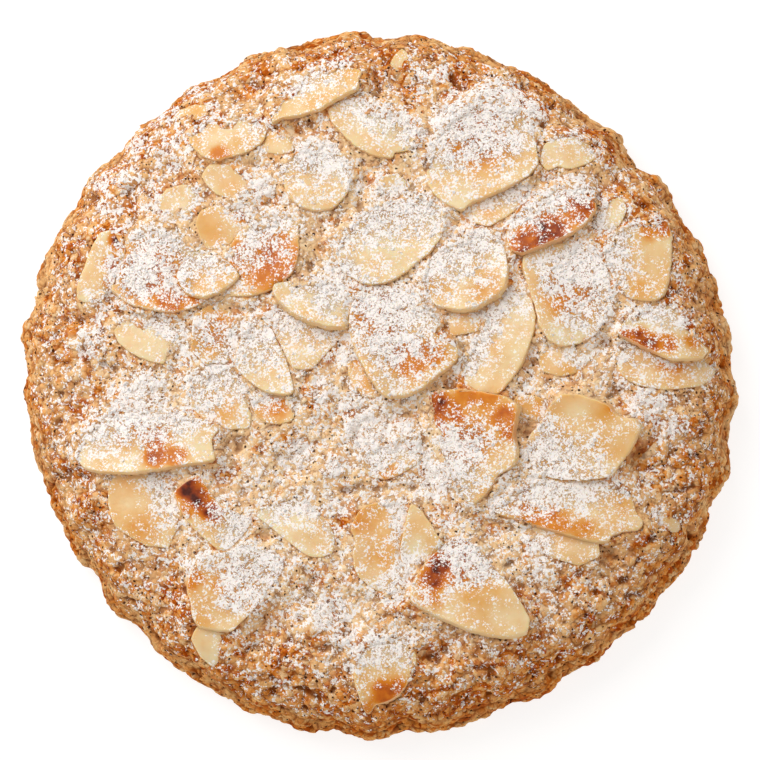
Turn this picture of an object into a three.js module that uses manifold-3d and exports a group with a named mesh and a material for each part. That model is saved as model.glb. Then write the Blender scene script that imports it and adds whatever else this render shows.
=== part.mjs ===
// A round lebkuchen: a low dome of coarse nut dough, baked with flaked almonds pressed into its top.
// Millimetres, +Z up. The origin is the middle of the flat underside.

import * as THREE from 'three';
import { mergeVertices } from 'three/addons/utils/BufferGeometryUtils.js';
import Module from 'manifold-3d';

// Driving dimensions of the dough
const doughRadius = 47.5;
const doughHeight = 15;
const doughSegments = 112;
const doughRings = 21;

// The side and the top of the dough, from its foot to its middle, as shares of its radius and height:
// a foot that swelled outwards, a faint waist above it, a rounded shoulder and a slightly domed top.
const profileShares = [
  [0.93, 0], [0.975, 0.055], [1, 0.17], [0.992, 0.31], [0.975, 0.43], [0.968, 0.52], [0.955, 0.62],
  [0.925, 0.73], [0.875, 0.82], [0.79, 0.89], [0.67, 0.94], [0.35, 0.985], [0, 1],
];
const waistShare = 0.52;

// Slow waves that leave the dough a little out of round: waves in a turn, size, phase (degrees).
const outlineWaves = [[2, 0.67, 68], [3, 0.15, 0], [4, 0.43, 25], [5, 0.1, -146], [6, 0.1, -147]];

// Crumbly scallops round the side: waves in a turn, size, phase (degrees), drift with height (degrees/mm).
const scallopWaves = [[29, 0.26, 40, 11], [37, 0.22, 200, -17], [23, 0.16, 310, 6]];

// Crags on the top: waves along X and along Y (radians/mm), size, phase (degrees).
const cragWaves = [
  [0.52, 0.21, 0.3, 20], [-0.24, 0.58, 0.3, 130], [0.71, -0.66, 0.22, 250], [0.43, 0.83, 0.18, 70],
];

// Driving dimensions of the flaked almonds
const flakeThickness = 1.1;
const flakeStep = 2.7; // outline length of one side of a flake
const fewestSides = 9;
const flakeCurl = 0.012; // height that a flake gains for each square millimetre away from its middle line
const bendLimit = 0.965; // share of the radius past which a flake bends no further down the side

// The flaked almonds in three layers, each with its height above the dough and the rise of its raised edge.
// A flake is its middle (x, y), length, width, the way that its tip points (degrees from +X), how much it
// narrows to the tip, the way that its raised edge faces, and any breaks: straight edges, each given by
// the way that it faces and its distance from the middle.
const layers = [
  {
    lift: 0.5,
    rise: 0.2,
    flakes: [
      [-20, 26.3, 8, 5, 165, 0.2, 200],
      [16.8, 23.2, 8.5, 5.5, 25, 0.1, 270, [-60, 2.3]],
      [39, 0.6, 13, 6.5, -5, 0.1, 260],
      [11.5, 7, 5.5, 4.4, 0, 0, 270, [-90, 1.8]],
      [-31, -17.6, 12, 9.5, -70, 0.1, 240, [20, 4.6], [-110, 4.2]],
      [-21.8, -36, 5.5, 4, -85, 0.4, 200],
      [26.5, -23.5, 9, 5.5, -10, 0.1, 300],
      [24, 1.5, 8, 5, -20, 0.2, 250],
      [21.6, -4.3, 7, 4.6, 160, 0.2, 120],
      [-1.3, -0.3, 8, 4, -55, 0.2, 220],
      [2.8, 25, 6, 4.5, 0, 0.1, 90],
      [-24.8, 36, 6, 3, 15, 0.2, 110],
      [-26, 23.8, 6.5, 4.2, 10, 0.1, 140],
      [39.9, -20, 4.6, 2.7, -20, 0.1, 330],
      [3.2, 42.3, 5, 2.8, 82, 0.3, 90],
      [31.2, 21.6, 6.5, 4.2, 45, 0.1, 0],
      [-12.8, 31.5, 6.5, 4.2, -30, 0.1, 300],
      [-12.5, -5.3, 8, 4.6, -5, 0.2, 270],
      [-20.8, 19.9, 9, 6.6, 195, 0.1, 160],
      [-21.2, 5.3, 9, 7, 90, 0.1, 180],
      [-10.2, -20.4, 11.5, 6.6, 150, 0.3, 250, [15, 4.4], [-80, 4.3]],
      [1, -22.9, 12.5, 7.6, 265, 0.05, 180, [85, 5.4]],
      [-20.8, -2.8, 11.5, 8.6, 75, 0.1, 270, [-75, 4.4], [0, 4.3]],
      [-30.2, 4.7, 10.6, 5.8, 160, 0.3, 240],
      [25.9, 30, 8, 5.2, 0, 0.15, 250],
      [2.3, -11.8, 9, 5, 5, 0.1, 270],
      [-8.9, 4.7, 10.5, 7, -35, 0.15, 260, [170, 4]],
    ],
  },
  {
    lift: 1.05,
    rise: 0.45,
    flakes: [
      [-19.5, 31.8, 11.3, 6, 185, 0.15, 260],
      [-7.6, 26, 10, 8.6, 100, 0.1, 260],
      [0.5, 33, 13.4, 7.4, 150, 0.15, 240, [-10, 5.2], [-62, 4.2]],
      [14.6, 30.2, 17, 12.6, 50, 0.1, 280, [-72, 6], [200, 7.6]],
      [25.8, 10.5, 14, 11, -60, 0.1, 210],
      [36, 15.1, 12.5, 8.8, 250, 0.2, 330, [0, 3.7], [80, 5.4]],
      [2.3, 17.8, 15.6, 9.8, 20, 0.15, 280],
      [17.2, 3.7, 16, 7.8, 65, 0.2, 330],
      [-14, 1.8, 12, 7.4, -50, 0.3, 230, [35, 3.2]],
      [-14.5, 15.8, 12, 9.4, 42, 0.05, 310],
      [-28, 13.8, 16.5, 10.4, -8, 0.1, 250],
      [-37, 14.8, 11, 5.4, 250, 0.3, 160],
      [-18.8, -28.3, 14.5, 10, 20, 0.1, 190],
      [-21, -18.4, 12, 8.6, -45, 0.15, 150, [147, 5], [50, 3.7], [-125, 3.9]],
      [6, -21.8, 9.4, 6, 100, 0.4, 60],
      [1.5, -40.3, 10.4, 7.5, -105, 0.25, 270],
      [26, -17.6, 20.5, 8.4, 175, 0.15, 280],
    ],
  },
  {
    lift: 1.7,
    rise: 0.75,
    flakes: [
      [-7.4, 38.1, 14, 5.6, 207, 0.25, 300, [15, 6.2]],
      [24, 20.5, 14, 8, 30, 0.1, 290],
      [38.3, 5.4, 13, 6.4, 168, 0.25, 260, [30, 5]],
      [12.7, 13.7, 12.4, 10.2, 215, 0.1, 300],
      [-7.6, 10, 12, 6.2, 155, 0.25, 250],
      [-21.8, 13.2, 9, 6.5, 0, 0.3, 280],
      [-30.2, -9.3, 19.6, 7.8, 182, 0.1, 280, [0, 9]],
      [12.6, -29.4, 19, 9.8, -35, 0.05, 260, [35, 5], [-15, 8.9]],
      [28.3, -8.4, 16, 11, -20, 0.05, 330, [-32, 6.3], [42, 5.4]],
      [13.9, -9, 17, 11.4, -80, 0.3, 80, [88, 6.2]],
      [3.8, 3.9, 16.6, 11.6, -50, 0.1, 230],
    ],
  },
];

const radians = THREE.MathUtils.degToRad;
const profilePoints = profileShares.map(([r, z]) => new THREE.Vector2(r * doughRadius, z * doughHeight));
const profileCurve = new THREE.SplineCurve(profilePoints);
const doughProfile = [new THREE.Vector2(0, 0), ...profileCurve.getSpacedPoints(doughRings)];

// The height of the smooth dough, without its crags, at a distance from the middle.
const topProfile = doughProfile.filter((point) => point.y > waistShare * doughHeight);

function domeHeight(distance) {
  const outer = topProfile.findLastIndex((point) => point.x >= distance);
  if (outer < 0) return topProfile[0].y;
  const near = topProfile[outer];
  const next = topProfile[Math.min(outer + 1, topProfile.length - 1)];
  const share = (near.x - distance) / Math.max(near.x - next.x, 1e-6);
  return THREE.MathUtils.lerp(near.y, next.y, share);
}

// How far the side stands out from the mean circle at one angle and height.
function sideShift(angle, z) {
  let shift = 0;
  for (const [count, size, phase] of outlineWaves) {
    shift += size * Math.cos(count * angle + radians(phase));
  }
  for (const [count, size, phase, drift] of scallopWaves) {
    shift += size * Math.cos(count * angle + radians(phase + drift * z));
  }
  return shift;
}

// How far the crags lift the top at one place.
function cragHeight(x, y) {
  let height = 0;
  for (const [alongX, alongY, size, phase] of cragWaves) {
    height += size * Math.sin(alongX * x + alongY * y + radians(phase));
  }
  return height;
}

// The dough: a turned profile, pushed out of round and made uneven, with a flat underside.
function makeDough() {
  const dough = new THREE.LatheGeometry(doughProfile, doughSegments);
  dough.rotateX(Math.PI / 2);
  const place = dough.attributes.position;
  for (let i = 0; i < place.count; i++) {
    const [x, y, z] = [place.getX(i), place.getY(i), place.getZ(i)];
    const distance = Math.hypot(x, y);
    const stretch = distance > 0 ? 1 + sideShift(Math.atan2(y, x), z) / doughRadius : 1;
    const raised = z + cragHeight(x, y) * (z / doughHeight);
    place.setXYZ(i, x * stretch, y * stretch, raised);
  }
  return dough;
}

// The outline of a flake round its middle: an ellipse that narrows to the tip, cut straight at its breaks.
function flakeOutline(angle, length, width, narrow, tip, breaks) {
  const along = Math.cos(angle) * length / 2;
  const across = Math.sin(angle) * (1 - narrow * Math.cos(angle)) * width / 2;
  const edge = new THREE.Vector2(along, across).rotateAround(new THREE.Vector2(), radians(tip));
  for (const [facing, distance] of breaks) {
    const reach = edge.x * Math.cos(radians(facing)) + edge.y * Math.sin(radians(facing));
    if (reach > distance) edge.multiplyScalar(distance / reach);
  }
  return edge;
}

// A flaked almond: a thin slice that follows the dome, curls up a little and stands up at its raised edge.
function makeFlake(lift, rise, [x, y, length, width, tip, narrow, raised, ...breaks]) {
  const around = Math.PI * (length + width) / 2;
  const sides = Math.max(fewestSides, Math.round(around / flakeStep));
  const flake = new THREE.CylinderGeometry(1, 1, flakeThickness, sides);
  flake.rotateX(Math.PI / 2);
  const place = flake.attributes.position;
  const edgeWay = new THREE.Vector2(Math.cos(radians(raised)), Math.sin(radians(raised)));
  const sideWay = new THREE.Vector2(-Math.sin(radians(tip)), Math.cos(radians(tip)));
  for (let i = 0; i < place.count; i++) {
    const onRim = Math.hypot(place.getX(i), place.getY(i)) > 0.5;
    const angle = Math.atan2(place.getY(i), place.getX(i));
    const offset = onRim ? flakeOutline(angle, length, width, narrow, tip, breaks) : new THREE.Vector2();
    const distance = Math.min(Math.hypot(x + offset.x, y + offset.y), bendLimit * doughRadius);
    const tilt = rise * offset.dot(edgeWay) / (width / 2);
    const curl = flakeCurl * offset.dot(sideWay) ** 2;
    const middle = domeHeight(distance) + lift + tilt + curl - flakeThickness / 2;
    place.setXYZ(i, x + offset.x, y + offset.y, middle + place.getZ(i));
  }
  return flake;
}

const wasm = await Module();
wasm.setup();

function toSolid(geometry) {
  const bare = geometry.clone();
  bare.deleteAttribute('normal');
  bare.deleteAttribute('uv');
  const merged = mergeVertices(bare);
  return new wasm.Manifold(new wasm.Mesh({
    numProp: 3,
    vertProperties: merged.attributes.position.array,
    triVerts: merged.index.array,
  }));
}

function toGeometry(solid) {
  const mesh = solid.getMesh();
  const geometry = new THREE.BufferGeometry();
  geometry.setAttribute('position', new THREE.BufferAttribute(mesh.vertProperties, 3));
  geometry.setIndex(new THREE.BufferAttribute(mesh.triVerts, 1));
  geometry.computeVertexNormals();
  return geometry;
}

// The flakes are baked into the dough, so all of it is one body. Only its outer skin is kept: a hollow
// that is closed in under the flakes is filled that way.
function makeLebkuchen() {
  let baked = toSolid(makeDough());
  for (const { lift, rise, flakes } of layers) {
    for (const flake of flakes) {
      baked = baked.add(toSolid(makeFlake(lift, rise, flake)));
    }
  }
  const skins = baked.decompose();
  return skins.reduce((largest, skin) => (skin.volume() > largest.volume() ? skin : largest));
}

const crust = new THREE.MeshStandardMaterial({ color: 0xc99a66, roughness: 0.85, metalness: 0 });
const biscuit = new THREE.Mesh(toGeometry(makeLebkuchen()), crust);
biscuit.name = 'lebkuchen';

const group = new THREE.Group();
group.add(biscuit);

export default group;
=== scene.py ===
import math

import bmesh
import bpy
import numpy as np
from mathutils import Matrix, Vector, noise
from mathutils.bvhtree import BVHTree
from mathutils.kdtree import KDTree


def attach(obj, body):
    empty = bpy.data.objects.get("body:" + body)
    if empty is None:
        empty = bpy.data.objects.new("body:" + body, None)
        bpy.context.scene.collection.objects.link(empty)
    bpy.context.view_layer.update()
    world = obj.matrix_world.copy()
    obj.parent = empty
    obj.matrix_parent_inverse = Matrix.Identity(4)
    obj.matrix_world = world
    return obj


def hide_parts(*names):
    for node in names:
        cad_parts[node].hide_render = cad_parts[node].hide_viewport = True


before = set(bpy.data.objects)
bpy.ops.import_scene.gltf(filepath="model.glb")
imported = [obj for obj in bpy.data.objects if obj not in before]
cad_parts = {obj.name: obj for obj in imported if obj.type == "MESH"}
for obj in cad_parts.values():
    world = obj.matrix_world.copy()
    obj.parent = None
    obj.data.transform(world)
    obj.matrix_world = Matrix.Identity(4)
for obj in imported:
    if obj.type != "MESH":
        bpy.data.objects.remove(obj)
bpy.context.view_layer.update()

# The dough: coarsely ground nuts bound with egg and sugar, dropped as one heap and baked on a flat sheet.
# It spread into a low dome with a swollen foot. Its crust is lumpy, pitted and dotted with spice, and it
# browned most round the rim and on the side. Sizes are in millimetres, up to the stage.
MM = 0.001
DOUGH_RADIUS = 47.5
DOUGH_HEIGHT = 15
CRUST_STEP = 0.33
CAVITY_STEPS = 7
NUT_SIZE = 1.9
NUT_BEND = 0.7
BIT_SIZE = 0.8
BIT_BEND = 0.5
SIDE_START = 0.945
WAIST_SHARE = 0.52
PROFILE_SHARES = [
    (0.93, 0), (0.975, 0.055), (1, 0.17), (0.992, 0.31), (0.975, 0.43), (0.968, 0.52), (0.955, 0.62),
    (0.925, 0.73), (0.875, 0.82), (0.79, 0.89), (0.67, 0.94), (0.35, 0.985), (0, 1),
]
OUTLINE_WAVES = [(2, 0.67, 68), (3, 0.15, 0), (4, 0.43, 25), (5, 0.1, -146), (6, 0.1, -147)]
SCALLOP_WAVES = [(29, 0.26, 40, 11), (37, 0.22, 200, -17), (23, 0.16, 310, 6)]
CRAG_WAVES = [
    (0.52, 0.21, 0.3, 20), (-0.24, 0.58, 0.3, 130), (0.71, -0.66, 0.22, 250), (0.43, 0.83, 0.18, 70),
]


def smooth_curve(points, steps=24):
    """A Catmull-Rom curve through the points, as the solid's profile has."""
    ends = np.vstack([points[:1], points, points[-1:]])
    t = np.linspace(0, 1, steps, endpoint=False)[:, None]
    spans = [
        b + (c - a) * t / 2 + (2 * a - 5 * b + 4 * c - d) * t**2 / 2 + (3 * b - a - 3 * c + d) * t**3 / 2
        for a, b, c, d in zip(ends, ends[1:], ends[2:], ends[3:])
    ]
    return np.vstack([*spans, points[-1:]])


profile = smooth_curve(np.array(PROFILE_SHARES) * [DOUGH_RADIUS, DOUGH_HEIGHT])[::-1]
profile_top = profile[profile[:, 1] > WAIST_SHARE * DOUGH_HEIGHT]


def dome_height(distance):
    """The height of the smooth dough at a distance from its middle."""
    return np.interp(distance, profile_top[:, 0], profile_top[:, 1])


def side_shift(angle, z):
    """How far the side stands out from the mean circle."""
    shift = sum(size * np.cos(count * angle + math.radians(phase)) for count, size, phase in OUTLINE_WAVES)
    for count, size, phase, drift in SCALLOP_WAVES:
        shift = shift + size * np.cos(count * angle + np.radians(phase + drift * z))
    return shift


def crag_height(x, y):
    """How far the crags lift the top."""
    return sum(size * np.sin(kx * x + ky * y + math.radians(phase)) for kx, ky, size, phase in CRAG_WAVES)


def dough_mesh():
    """The points and faces of the dough: rings from the middle of the top down to the flat foot."""
    travel = np.concatenate([[0], np.cumsum(np.linalg.norm(np.diff(profile, axis=0), axis=1))])
    rings = round(travel[-1] / CRUST_STEP)
    stations = np.linspace(0, travel[-1], rings + 1)
    radius = np.interp(stations, travel, profile[:, 0])
    height = np.interp(stations, travel, profile[:, 1])
    side = int(np.argmax(radius > SIDE_START * DOUGH_RADIUS))
    counts = [1] + [6 * min(i, side) for i in range(1, rings + 1)]
    starts = np.concatenate([[0], np.cumsum(counts)])
    points = []
    faces = []
    for i, count in enumerate(counts):
        angle = np.arange(count) * 2 * np.pi / count
        x, y = radius[i] * np.cos(angle), radius[i] * np.sin(angle)
        stretch = 1 + side_shift(angle, height[i]) / DOUGH_RADIUS
        lift = crag_height(x, y) * height[i] / DOUGH_HEIGHT
        points.append(np.column_stack([x * stretch, y * stretch, height[i] + lift]))
        if i == rings:
            break
        inner, outer, wide = starts[i], starts[i + 1], counts[i + 1]
        if count == wide:
            here = np.arange(count)
            after = (here + 1) % count
            faces += np.column_stack([inner + here, outer + here, outer + after, inner + after]).tolist()
            continue
        for sector in range(6):
            step = np.arange(i + 1)
            near = inner + (sector * i + step) % count
            far = outer + sector * (i + 1) + step
            far_next = outer + (sector * (i + 1) + step + 1) % wide
            faces += np.column_stack([near, far, far_next]).tolist()
            faces += np.column_stack([near[:-1], far_next[:-1], near[1:]]).tolist()
    faces.append(list(range(starts[rings + 1] - 1, starts[rings] - 1, -1)))
    return np.vstack(points), faces


def show(name, mesh):
    """An object for a mesh, in the scene."""
    piece = bpy.data.objects.new(name, mesh)
    bpy.context.collection.objects.link(piece)
    return piece


def make_piece(name, points, faces):
    """A smooth mesh object from points in millimetres."""
    mesh = bpy.data.meshes.new(name)
    mesh.from_pydata((np.asarray(points) * MM).tolist(), [], faces)
    mesh.shade_smooth()
    return show(name, mesh)


def write_values(mesh, name, values):
    """A number at each point of a mesh, which materials and trees read by name."""
    column = mesh.attributes.new(name, "FLOAT", "POINT").data
    column.foreach_set("value", np.asarray(values, dtype=np.float32))


def read_points(mesh):
    """The points of a mesh in millimetres."""
    flat = np.empty(len(mesh.vertices) * 3, dtype=np.float32)
    mesh.vertices.foreach_get("co", flat)
    return flat.reshape(-1, 3).astype(float) / MM


def add_node(tree, kind, values=None, out=0, **settings):
    """Adds a node, sets its properties and fills its inputs: a socket is linked, all else is a constant.
    Gives the output that has the number out."""
    made = tree.nodes.new(kind)
    for name, value in settings.items():
        setattr(made, name, value)
    for key, value in (values or {}).items():
        if isinstance(value, bpy.types.NodeSocket):
            tree.links.new(value, made.inputs[key])
        else:
            made.inputs[key].default_value = value
    return made.outputs[out] if made.outputs else None


def new_tree(name, sizes):
    """A Geometry Nodes tree with named inputs, given as name and kind of socket, and the sockets that its
    inputs come from."""
    tree = bpy.data.node_groups.new(name, "GeometryNodeTree")
    tree.interface.new_socket("Geometry", in_out="OUTPUT", socket_type="NodeSocketGeometry")
    tree.interface.new_socket("Geometry", in_out="INPUT", socket_type="NodeSocketGeometry")
    for label, kind in sizes.items():
        tree.interface.new_socket(label, in_out="INPUT", socket_type="NodeSocket" + kind)
    return tree, add_node(tree, "NodeGroupInput").node.outputs


def grow(base, tree, values):
    """Runs a tree on an object with these inputs, and gives the result as a plain mesh."""
    modifier = base.modifiers.new(tree.name, "NODES")
    modifier.node_group = tree
    for item in tree.interface.items_tree:
        if item.in_out == "INPUT" and item.name in values:
            modifier[item.identifier] = values[item.name]
    graph = bpy.context.evaluated_depsgraph_get()
    mesh = bpy.data.meshes.new_from_object(base.evaluated_get(graph), depsgraph=graph)
    base.modifiers.remove(modifier)
    return mesh


def add_granules(tree, place, scale, bend):
    """Uneven grains packed side by side: how far each place lies from the seam round its grain, and a
    number drawn for each grain."""
    drift = add_node(tree, "ShaderNodeTexNoise", {"Vector": place, "Scale": scale, "Detail": 2.0}, 1)
    centred = add_node(tree, "ShaderNodeVectorMath", {0: drift, 1: (0.5, 0.5, 0.5)}, operation="SUBTRACT")
    shift = add_node(tree, "ShaderNodeVectorMath", {0: centred, "Scale": bend}, operation="SCALE")
    bent = add_node(tree, "ShaderNodeVectorMath", {0: place, 1: shift}, operation="ADD")
    cells = {"Vector": bent, "Scale": scale}
    seam = add_node(tree, "ShaderNodeTexVoronoi", cells, feature="DISTANCE_TO_EDGE")
    colour = add_node(tree, "ShaderNodeTexVoronoi", cells, 1)
    return seam, add_node(tree, "ShaderNodeSeparateXYZ", {0: colour})


def crumb_relief():
    """The tree that makes the smooth dough lumpy: pressed lumps, nuts side by side, fine crumb and pits."""
    tree, given = new_tree("crumb relief", {
        "Lump size": "Float", "Lump height": "Float", "Nut size": "Float", "Nut bend": "Float",
        "Nut height": "Float", "Nut step": "Float", "Crumb size": "Float", "Crumb height": "Float",
        "Pit size": "Float", "Pit depth": "Float", "Material": "Material",
    })
    place = add_node(tree, "GeometryNodeInputPosition")
    scales = {
        name: add_node(tree, "ShaderNodeMath", {0: 1.0, 1: given[name + " size"]}, operation="DIVIDE")
        for name in ("Lump", "Nut", "Crumb", "Pit")
    }
    crumb = add_node(tree, "ShaderNodeTexNoise", {"Vector": place, "Scale": scales["Crumb"], "Detail": 3.0})
    lumps = add_node(tree, "ShaderNodeTexVoronoi", {"Vector": place, "Scale": scales["Lump"]},
                     feature="SMOOTH_F1")
    bowl = add_node(tree, "ShaderNodeMath", {0: lumps, 1: 2.0}, operation="POWER")
    seam, draw = add_granules(tree, place, scales["Nut"], given["Nut bend"])
    crown = add_node(tree, "ShaderNodeMapRange", {0: seam, 1: 0.0, 2: 0.3}, interpolation_type="SMOOTHSTEP")
    holes = add_node(tree, "ShaderNodeTexNoise", {"Vector": place, "Scale": scales["Pit"], "Detail": 1.0})
    pit = add_node(tree, "ShaderNodeMapRange", {0: holes, 1: 0.6, 2: 0.72}, interpolation_type="SMOOTHSTEP")
    total = 0.0
    for value, mean, sign, size in (
        (crumb, 0.5, 1, "Crumb height"), (bowl, 0.3, -1, "Lump height"), (crown, 0.7, 1, "Nut height"),
        (draw, 0.5, 1, "Nut step"), (pit, 0.0, -1, "Pit depth"),
    ):
        centred = add_node(tree, "ShaderNodeMath", {0: value, 1: mean}, operation="SUBTRACT")
        signed = add_node(tree, "ShaderNodeMath", {0: centred, 1: float(sign)}, operation="MULTIPLY")
        total = add_node(tree, "ShaderNodeMath", {0: signed, 1: given[size], 2: total},
                         operation="MULTIPLY_ADD")
    free = add_node(tree, "GeometryNodeInputNamedAttribute", {"Name": "free"}, data_type="FLOAT")
    moved = add_node(tree, "ShaderNodeMath", {0: total, 1: free}, operation="MULTIPLY")
    mean = add_node(tree, "GeometryNodeBlurAttribute", {0: moved, "Iterations": CAVITY_STEPS},
                    data_type="FLOAT")
    hollow = add_node(tree, "ShaderNodeMath", {0: mean, 1: moved}, operation="SUBTRACT")
    marked = given["Geometry"]
    for name, value, kind in (("hollow", hollow, "FLOAT"), ("rest", place, "FLOAT_VECTOR")):
        marked = add_node(tree, "GeometryNodeStoreNamedAttribute",
                          {"Geometry": marked, "Name": name, "Value": value},
                          data_type=kind, domain="POINT")
    normal = add_node(tree, "GeometryNodeInputNormal")
    offset = add_node(tree, "ShaderNodeVectorMath", {0: normal, "Scale": moved}, operation="SCALE")
    shaped = add_node(tree, "GeometryNodeSetPosition", {"Geometry": marked, "Offset": offset})
    real = add_node(tree, "GeometryNodeRealizeInstances", {"Geometry": shaped})
    done = add_node(tree, "GeometryNodeSetMaterial", {"Geometry": real, "Material": given["Material"]})
    add_node(tree, "NodeGroupOutput", {"Geometry": done})
    return tree


def linear(code):
    """An sRGB hex colour as linear RGBA."""
    shares = [int(code[i:i + 2], 16) / 255 for i in (1, 3, 5)]
    return [c / 12.92 if c <= 0.04045 else ((c + 0.055) / 1.055) ** 2.4 for c in shares] + [1.0]


def new_material(name):
    """A material with a Principled shader, as the material, its tree and that shader."""
    material = bpy.data.materials.new(name)
    material.use_nodes = True
    return material, material.node_tree, material.node_tree.nodes["Principled BSDF"]


def set_shader(shader, **values):
    """Sets the shader's own sockets, and links those that are given a socket."""
    for name, value in values.items():
        socket = shader.inputs[name.replace("_", " ")]
        if isinstance(value, bpy.types.NodeSocket):
            shader.id_data.links.new(value, socket)
        else:
            socket.default_value = value


def fill_ramp(ramp, stops):
    """Gives a colour ramp its stops, as place and colour."""
    marks = ramp.node.color_ramp.elements
    marks.remove(marks[1])
    for i, (stop, colour) in enumerate(stops):
        mark = marks[0] if i == 0 else marks.new(stop)
        mark.position = stop
        mark.color = linear(colour)
    return ramp


FLECK_SIZE = 0.45
FLECK_ON_FLAKES = 0.26
TUFT_SIZE = 1.3
GRAIN_SIZE = 0.4
SUGAR_WHITE = "#FFFBF8"
SUGAR_EDGE_SHADE = "#743A10"


def add_lace(tree, place, cover, size):
    """How sifted sugar lies: above nought on its flecks and clumps, below it in the pores between them."""
    fleck = add_node(tree, "ShaderNodeTexNoise",
                     {"Vector": place, "Scale": 1 / (size * MM), "Detail": 3.0, "Roughness": 0.75})
    tuft = add_node(tree, "ShaderNodeTexNoise",
                    {"Vector": place, "Scale": 1 / (TUFT_SIZE * MM), "Detail": 2.0})
    grain = add_node(tree, "ShaderNodeTexVoronoi", {"Vector": place, "Scale": 1 / (GRAIN_SIZE * MM)})
    level = add_node(tree, "ShaderNodeMapRange", {0: cover, 1: 0.1, 2: 0.9, 3: -0.92, 4: -0.64},
                     clamp=False)
    there = add_node(tree, "ShaderNodeMapRange", {0: cover, 1: 0.0, 2: 0.08, 3: -1.0, 4: 0.0})
    level = add_node(tree, "ShaderNodeMath", {0: level, 1: there}, operation="ADD")
    for pattern, weight in ((fleck, 1.15), (tuft, 0.65), (grain, -0.25)):
        level = add_node(tree, "ShaderNodeMath", {0: pattern, 1: weight, 2: level},
                         operation="MULTIPLY_ADD")
    return level


def add_dust(tree, place, colour, size, edge_shade_most):
    """The finest of the sugar, as colour on what it lies on with painted shade round it, and its share
    there.
    """
    cover = add_node(tree, "ShaderNodeAttribute", attribute_name="sugar", out=2)
    lace = add_lace(tree, place, cover, size)
    share = add_node(tree, "ShaderNodeMapRange", {0: lace, 1: -0.035, 2: 0.03})
    # Painted shade round the sugar's flecks and clumps, deeper where the sugar lies thick.
    thick = add_node(tree, "ShaderNodeMapRange", {0: cover, 1: 0.4, 2: 0.8, 4: edge_shade_most})
    edge_shade = add_node(tree, "ShaderNodeMapRange", {0: lace, 1: -0.2, 2: -0.03, 4: thick})
    dusted = colour
    for part, tint in ((edge_shade, SUGAR_EDGE_SHADE), (share, SUGAR_WHITE)):
        dusted = add_node(tree, "ShaderNodeMix", {0: part, 6: dusted, 7: linear(tint)}, 2, data_type="RGBA")
    return dusted, share


PORE_SIZE = 0.5
CREAM_SIZE = 3.6
TOAST_SIZE = 1.5
SEAM_SHADE_PATCH_SIZE = 1.5
SPICE_SIZE = 0.52
SPICE_DRIFT = 0.5
HOLLOW_DEPTHS = (0.03, 0.26)
NUT_COLOURS = ((0.0, "#B65812"), (0.25, "#DC8632"), (0.5, "#EDA85A"), (0.75, "#F8C88E"), (1.0, "#FDE4C4"))
CREAM_COLOUR = "#FADDB0"
TOAST_COLOUR = "#CA7822"
RIM_COLOUR = "#F0D29E"
CREVICE_SHADE_COLOUR = "#6E2C04"
PORE_SHADE_COLOUR = "#96460E"
SPICE_COLOUR = "#3E1A0A"


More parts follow.
